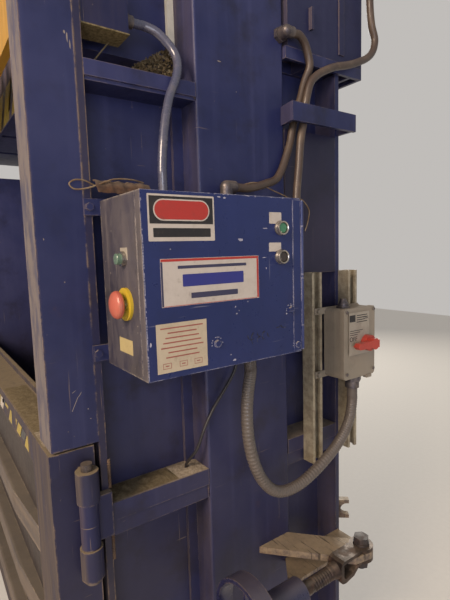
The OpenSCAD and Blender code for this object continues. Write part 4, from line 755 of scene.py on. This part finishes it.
def flake(y, z, wide, high, piece=chips, x=LID_FACE):
    """An irregular chip lying on a face that looks along +X, its primer shown as a film."""
    outline = [(wide * math.cos(math.tau * k / 7) * fall.uniform(0.6, 1.2),
                high * math.sin(math.tau * k / 7) * fall.uniform(0.6, 1.2)) for k in range(7)]
    piece.prism(outline, (x, y, z), (0, 1, 0), (0, 0, 1), CHIP_THICK)


LID_FLAKES = (
    (-0.113, 1.458, 0.0022, 0.0020), (-0.104, 1.449, 0.0012, 0.0012),
    (-0.110, 1.443, 0.0022, 0.0018), (-0.095, 1.598, 0.0075, 0.0035),
    (-0.147, 1.684, 0.0050, 0.0022), (-0.134, 1.683, 0.0045, 0.0018),
    (-0.119, 1.344, 0.0050, 0.0026), (-0.128, 1.357, 0.0014, 0.0018),
    # the dashes at 1.622 and 1.559, beside the buttons, are pale chips drawn as painted highlights
    (-0.080, 1.466, 0.0014, 0.0012), (-0.027, 1.622, 0.0070, 0.0014),
    (-0.031, 1.559, 0.0060, 0.0012), (-0.026, 1.535, 0.0012, 0.0022),
    (0.047, 1.446, 0.0050, 0.0010), (-0.262, 1.582, 0.0014, 0.0012),
    (0.033, 1.428, 0.0030, 0.0020), (-0.312, 1.404, 0.0020, 0.0050))
for y, z, wide, high in LID_FLAKES:
    flake(y, z, wide, high)
for y, z in SCREWS:
    for k in range(8):
        turn = math.tau * (k + fall.random()) / 14
        flake(y + SCREW_RING * math.cos(turn), z + SCREW_RING * math.sin(turn), 0.0016, 0.0012)
# the row down the left fold: chips, and a painted highlight along the fold's edge
for k in range(64):
    z = FOLD_LOW + FOLD_PITCH * k
    if fall.random() < (0.85 if z < 1.60 else 0.3):
        flake(LEFT_FOLD + fall.uniform(0, 0.0006), z, 0.0009, fall.uniform(0.002, 0.004))
# flakes along the top fold: chips, and a painted highlight along its lit edge
for k in range(12):
    flake(fall.uniform(-0.16, 0.06), TOP_FOLD - fall.uniform(0, 0.001),
          fall.uniform(0.001, 0.004), fall.uniform(0.0005, 0.0010))
chips.done()

# Knocks on the frame
# Where loads and chains have hit the columns the coat is off in short slanting dashes, down to
# a dirty primer.
SCORES = ((-0.408, 1.238, -0.392, 1.268), (-0.392, 1.268, -0.384, 1.277),
          (-0.405, 1.279, -0.396, 1.283))
FRAME_FLAKES = (
    (-0.366, 2.018, 0.0016, 0.012), (-0.361, 2.004, 0.0014, 0.010),
    (-0.371, 2.027, 0.0020, 0.004), (-0.372, 1.236, 0.0016, 0.0016),
    (-0.368, 1.213, 0.0014, 0.0012), (-0.404, 1.520, 0.0016, 0.0014),
    (-0.440, 1.610, 0.0014, 0.0020), (0.062, 1.985, 0.0014, 0.0014),
    (0.010, 2.050, 0.0060, 0.0016))
knocks = Piece("frame_knocks", "frame", moulded("primer_dirty", "8A8078", 0.6, soil=0.3))
for y, z, wide, high in FRAME_FLAKES:
    flake(y, z, wide, high, knocks, SIDE)
for y0, z0, y1, z1 in SCORES:
    knocks.prism([(y0, z0), (y0 + 0.0012, z0 - 0.0006), (y1, z1), (y1 - 0.0012, z1)],
                 (SIDE, 0, 0), (0, 1, 0), (0, 0, 1), CHIP_THICK)
knocks.done()

# Drip lip and wire ties
# A strip of sheet was bent over the box to shed oil and has rusted brown. Beside it hang loops
# of old annealed tie wire.
RUST = bare_steel("rusted_sheet", "3A2A22", "5A4230", rust="4A2E1E", rusty=0.7, rough=0.85,
                  metal=0.05, dusty=0.35)
lip = Piece("drip_lip", "frame", RUST)
LIP_Y, LIP_THICK = (-0.332, -0.206), 0.0022
cells = 24
rows = []
for k in range(cells + 1):
    y = LIP_Y[0] + (LIP_Y[1] - LIP_Y[0]) * k / cells
    sag = 0.0014 * math.sin(k * 1.3) + 0.0010 * math.sin(k * 3.1) - 0.002 * k / cells
    rows.append([(0.864, y, 1.7360 + sag), (0.878, y, 1.7325 + sag),
                 (0.898 + 0.0015 * math.sin(k * 2.3), y, 1.7075 + sag * 0.6)])
sheet = [p for row in rows for p in row]
lip.sheet(sheet, [(x, y, z - LIP_THICK) for x, y, z in sheet], cells, 2)
lip.done()


def smooth_path(points, steps):
    """The curve that the cords follow, through the same points, given in millimetres."""
    p = [Vector(q) / 1000 for q in points]
    path = []
    for i in range(len(p) - 1):
        a, b, c, d = p[max(i - 1, 0)], p[i], p[i + 1], p[min(i + 2, len(p) - 1)]
        for k in range(steps):
            t = k / steps
            path.append(0.5 * (2 * b + (c - a) * t + (2 * a - 5 * b + 4 * c - d) * t * t
                               + (3 * b - a - 3 * c + d) * t * t * t))
    return path + [p[-1]]


WIRE = bare_steel("annealed_wire", "6E563E", "8A7860", rough=0.6, metal=0.3)
WIRE_R = 0.0017
wires = Piece("tie_wires", "frame", WIRE)
for route in ([(867, -300, 1726), (874, -327, 1722), (877, -353, 1731), (878, -374, 1731),
               (879, -386, 1722), (879, -375, 1712), (883, -350, 1715), (884, -325, 1724),
               (882, -290, 1737), (880, -250, 1739), (868, -215, 1736)],
              [(868, 262, 1716), (869, 288, 1719), (870, 316, 1690), (869, 312, 1655),
               (866, 303, 1628)],
              [(905, 40, 1741), (901, 90, 1751), (895, 150, 1736), (890, 205, 1722),
               (884, 236, 1712)]):
    wires.tube(smooth_path(route, 8), WIRE_R, 8)
wires.done()

# Struts and disconnect
# Galvanised slotted channels carry a powder-coated cast switch case with a red moulded lever.
# Zinc has dulled to warm grey; the case is pale grey with grey dirt at its edges.
ZINC_STRUT = bare_steel("galvanised_channel", "B2A78F", "8E8370", rusty=0.16, metal=0.35,
                        dusty=0.4)
# its faces that look along -Y take the darker front tint: painted shade on that side
ENAMEL_CASE = enamel("powder_coat_grey", "8C8374", "9A9082", bare="5A544E", streaks=0.25,
                     scuffs=0.2, chips=0.4, dusty=0.5, rust=0.12, rough=0.38, grime=0.3,
                     low=0.05, front=0.35, front_tint="6A6056")
ABS_LEVER = moulded("abs_lever_red", "B03A2E", 0.35, coat=0.3)
CASE_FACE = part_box("disconnect_cover")[1][0]
dress(ZINC_STRUT, 0.0008, "struts")
dress(ENAMEL_CASE, 0.002, "disconnect_case")
dress(ENAMEL_CASE, 0.003, "disconnect_cover")
dress(ABS_LEVER, 0.003, "disconnect_lever")

case_label = Piece("disconnect_label", "frame", VINYL_GREY, VINYL_BLACK)
film(case_label, (0.358, 0.450), (1.258, 1.385), 0, 0, 0.002, CASE_FACE)
film(case_label, (0.360, 0.386), (1.358, 1.378), 1, 1, 0.001, CASE_FACE)
for row in range(4):
    film(case_label, (0.392, 0.440 - 0.006 * (row % 3)),
         (1.374 - row * 0.0065, 1.3765 - row * 0.0065), 1, 1, 0.0003, CASE_FACE)
for row in range(3):
    film(case_label, (0.362, 0.420 - 0.012 * row),
         (1.330 - row * 0.006, 1.332 - row * 0.006), 1, 1, 0.0003, CASE_FACE)
case_label.done()

for word, y, z, tall in (("OFF", 0.3600, 1.300, 0.014), ("ON", 0.424, 1.362, 0.009)):
    letters = bpy.data.curves.new("switch_word_" + word.lower(), "FONT")
    letters.body = word
    letters.size = tall * 1.4
    letters.extrude = LAYER
    letters.materials.append(VINYL_BLACK)
    print_on = bpy.data.objects.new("switch_word_" + word.lower(), letters)
    print_on.matrix_world = Matrix(((0, 0, 1, CASE_FACE + 2 * LAYER), (1, 0, 0, y), (0, 1, 0, z),
                                    (0, 0, 0, 1)))
    SCENE.collection.objects.link(print_on)
    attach(print_on, "frame")
case_screws = Piece("disconnect_screws", "frame", ZINC_CAST)
for y in (0.350, 0.472):
    for z in (1.204, 1.388):
        case_screws.turned(((0.0050, 0), (0.0050, 0.0010), (0.0038, 0.0022), (0.0010, 0.0026)),
                           (CASE_FACE, y, z), (1, 0, 0), 16)
case_screws.done()

# Limit switch
# A small folded box in the front window that stops the ram, on a flange of flat steel. Blue
# enamel under thick khaki dust, which cakes on the flange and hides its metal.
dress(enamel("blue_enamel_switch", "1E2244", "3A3648", dust="7C6E5C", dusty=0.95, streaks=0.5,
             scuffs=0.4, rust=0.3, low=0.2, front=0.35, front_tint="6E604C", gloss=0.25), 0.003,
      "limit_switch_box")
flange = Piece("switch_flange", "frame", grit("caked_dust", "5E543C", "85785A", 0.008))
flange.box((0.789, -0.340, 2.0560), (0.8585, -0.226, 2.0595))
flange.done(0.0008)

# Oil tank and power unit
# A folded tank on a shelf, with the motor, pump and valve beside the cylinder. The tank is in
# blue enamel, dulled by oil mist; the motor is in machine grey.
ENAMEL_TANK = enamel("blue_enamel_tank", "1E2242", "2E3050", scuffs=0.2, chips=0.4, dusty=0.7,
                     rust=0.1, rough=0.45, low=0.2, gloss=0.3)
ENAMEL_GREY = enamel("grey_enamel_power", "4A4E55", "666A6E", dusty=0.7, rust=0.1)
dress(ENAMEL_FRAME, 0.003, "tank_shelf")
dress(ENAMEL_TANK, 0.004, "oil_tank")
dress(ENAMEL_GREY, 0.002, "power_unit")

# Conduits, hoses and the cable
# Steel conduit in an extruded PVC jacket with a sheen, duller hydraulic hose of rubber and one
# thin cable, screwed into glands. Each follows its CAD node's route, in millimetres here, and
# replaces it.
PVC_GREY = moulded("pvc_jacket_grey", "5C544E", 0.42, soil=0.2, dirt="3E3630", coat=0.15)
PVC_SILVER = moulded("pvc_jacket_silver", "45475C", 0.24, soil=0.16, dirt="7A7068", coat=0.6)
RUBBER_BROWN = moulded("rubber_hose", "43362F", 0.45, soil=0.3, dirt="6A5A48", coat=0.1)
RUBBER_BLACK = moulded("rubber_cable", "1E1C1F", 0.45, soil=0.2)
ROUTES = {
    "switch_conduit": (10.5, PVC_SILVER, "conduit_silver", [
        (905, -185, 1715), (905, -185, 1738), (905, -185, 1761), (903, -181, 1802),
        (898, -173, 1845), (892, -162, 1890), (884, -146, 1935), (877, -126, 1974),
        (872, -116, 2004), (862, -113, 2034), (852, -124, 2060), (839, -148, 2088),
        (828, -174, 2100), (828, -190, 2100), (828, -206, 2100)]),
    "motor_hose": (11, RUBBER_BROWN, "hose_brown", [
        (674, 335, 3000), (696, 335, 3000), (718, 335, 3000), (760, 344, 2993), (805, 380, 2955),
        (850, 450, 2850), (880, 530, 2700), (896, 560, 2540), (899, 560, 2420), (899, 558, 2330),
        (899, 567, 2263), (899, 584, 2215), (899, 558, 2167), (901, 473, 2125), (904, 378, 2094),
        (905, 302, 2050), (903, 278, 1999), (899, 270, 1938), (899, 256, 1879), (899, 248, 1807),
        (899, 239, 1738), (904, 226, 1650), (918, 190, 1560), (936, 164, 1520), (948, 144, 1503),
        (950, 129, 1500), (950, 115, 1500), (950, 100, 1500)]),
    "valve_hose": (11, RUBBER_BROWN, "hose_brown", [
        (892, 236, 2160), (892, 249, 2160), (892, 262, 2160), (889, 285, 2146), (886, 302, 2118),
        (885, 308, 2088), (876, 297, 2051), (874, 282, 2003), (874, 255, 1936), (874, 235, 1864),
        (880, 188, 1778), (892, 130, 1752), (898, 80, 1739), (900, 50, 1735), (900, 35, 1735),
        (900, 20, 1735)]),
    "supply_conduit": (16, PVC_GREY, "conduit_grey", [
        (955, 409, 1150), (955, 409, 1128), (955, 409, 1106), (955, 400, 1060), (955, 377, 1019),
        (955, 342, 985), (955, 300, 958), (955, 243, 930), (955, 183, 911), (955, 126, 910),
        (955, 80, 930), (955, 42, 975), (955, 16, 1035), (955, 2, 1105), (955, 0, 1170),
        (955, 6, 1225), (955, 14, 1265), (955, 14, 1285), (955, 14, 1305)]),
    "sensor_cable": (4, RUBBER_BLACK, "cable_black", [
        (880, 30, 1318), (880, 30, 1302), (880, 30, 1286), (878, 16, 1248), (874, -14, 1205),
        (870, -50, 1157), (866, -76, 1110), (856, -92, 1060), (838, -104, 1030), (820, -108, 1005),
        (818, -109, 970)]),
}
for cord_name, (cord_r, jacket, slot_name, route) in ROUTES.items():
    ringed = cord_name == "supply_conduit"
    line = smooth_path(route, 44 if ringed else 8)
    thick = cord_r / 1000
    cord_piece = Piece("skin_" + cord_name, "frame", jacket)
    # the wound steel strip under the grey jacket shows as rings, 8 mm apart so that they show
    cord_piece.tube(line, (lambda i: thick * (0.965 + 0.035 * math.sin(i * 0.9))) if ringed
                    else thick, 20)
    cord_object = cord_piece.done()
    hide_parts(cord_name)

# Floor, light and camera
# A pale plain floor and pale surroundings, a broad lamp in front, a weak one at the side and
# one behind, which the photographed side doesn't see.
def in_view(node):
    """1 for the rays that show the surroundings: straight, mirrored or through glass."""
    seen = node("LightPath", out="Is Camera Ray")
    for ray in ("Is Glossy Ray", "Is Transmission Ray"):
        seen = node("Math", {0: seen, 1: node("LightPath", out=ray)}, operation="MAXIMUM")
    return seen


def pale_floor():
    """Matt and even; it shows a little paler to the camera than it lights the object."""
    made, node, at = begin("floor_plain")
    glow = node("MapRange", {0: in_view(node), 4: 0.24})
    grain = node("TexNoise", {"Vector": at, "Scale": 40.0})
    tone = coats(node, "BAB3A8", (grain, "C2BBB0"))
    return surface(made, node, tone, 0.9, {"Emission Color": rgb("E4E0DC"),
                                           "Emission Strength": glow})


ground = Piece("floor", "frame", pale_floor())
ground.box((-9, -9, -0.01), (9, 9, -0.002))
floor = ground.done()

WORLD_STRENGTH, BACKDROP_STRENGTH = 0.40, 0.68
world = bpy.data.worlds.new("pale")
world.use_nodes = True
world.node_tree.nodes.clear()
sky = functools.partial(add, world.node_tree)
strength = sky("MapRange", {0: in_view(sky), 3: WORLD_STRENGTH, 4: BACKDROP_STRENGTH})
back = sky("Background", {"Color": rgb("E4E0DC"), "Strength": strength})
sky("OutputWorld", {0: back})
SCENE.world = world


def lamp(name, at, aim, size, power, tint):
    light = bpy.data.lights.new(name, "AREA")
    light.energy = power
    light.size = size
    light.color = rgb(tint)[:3]
    made = bpy.data.objects.new(name, light)
    made.location = at
    made.rotation_euler = (Vector(aim) - Vector(at)).to_track_quat("-Z", "Y").to_euler()
    SCENE.collection.objects.link(made)


lamp("key", (2.4, -4.6, 4.0), (0.6, -0.2, 1.2), 2.2, 330, "FFE6CC")
lamp("fill", (5.2, -2.6, 1.6), (0.8, 0.1, 1.3), 2.4, 90, "EEF0FF")
lamp("back", (-3.6, 4.6, 3.8), (0, 0, 1.6), 2.6, 220, "F6F2EC")

CAMERA_AT = (1.8178, -0.6599, 1.575)
CAMERA_YAW, CAMERA_PITCH, CAMERA_ROLL, CAMERA_LENS = 55.1, 6.3, -1.70, 26.46
lens = bpy.data.cameras.new("camera")
lens.lens = CAMERA_LENS
lens.sensor_width = 36
lens.clip_start = 0.02
camera = bpy.data.objects.new("camera", lens)
camera.matrix_world = Matrix.Translation(CAMERA_AT)
# an unturned camera looks straight down, so 90 degrees less the pitch tips it up
for degrees, axis in ((CAMERA_YAW, "Z"), (90 - CAMERA_PITCH, "X"), (CAMERA_ROLL, "Z")):
    camera.matrix_world @= Matrix.Rotation(math.radians(degrees), 4, axis)
SCENE.collection.objects.link(camera)
SCENE.camera = camera
SCENE.view_settings.view_transform = "Standard"
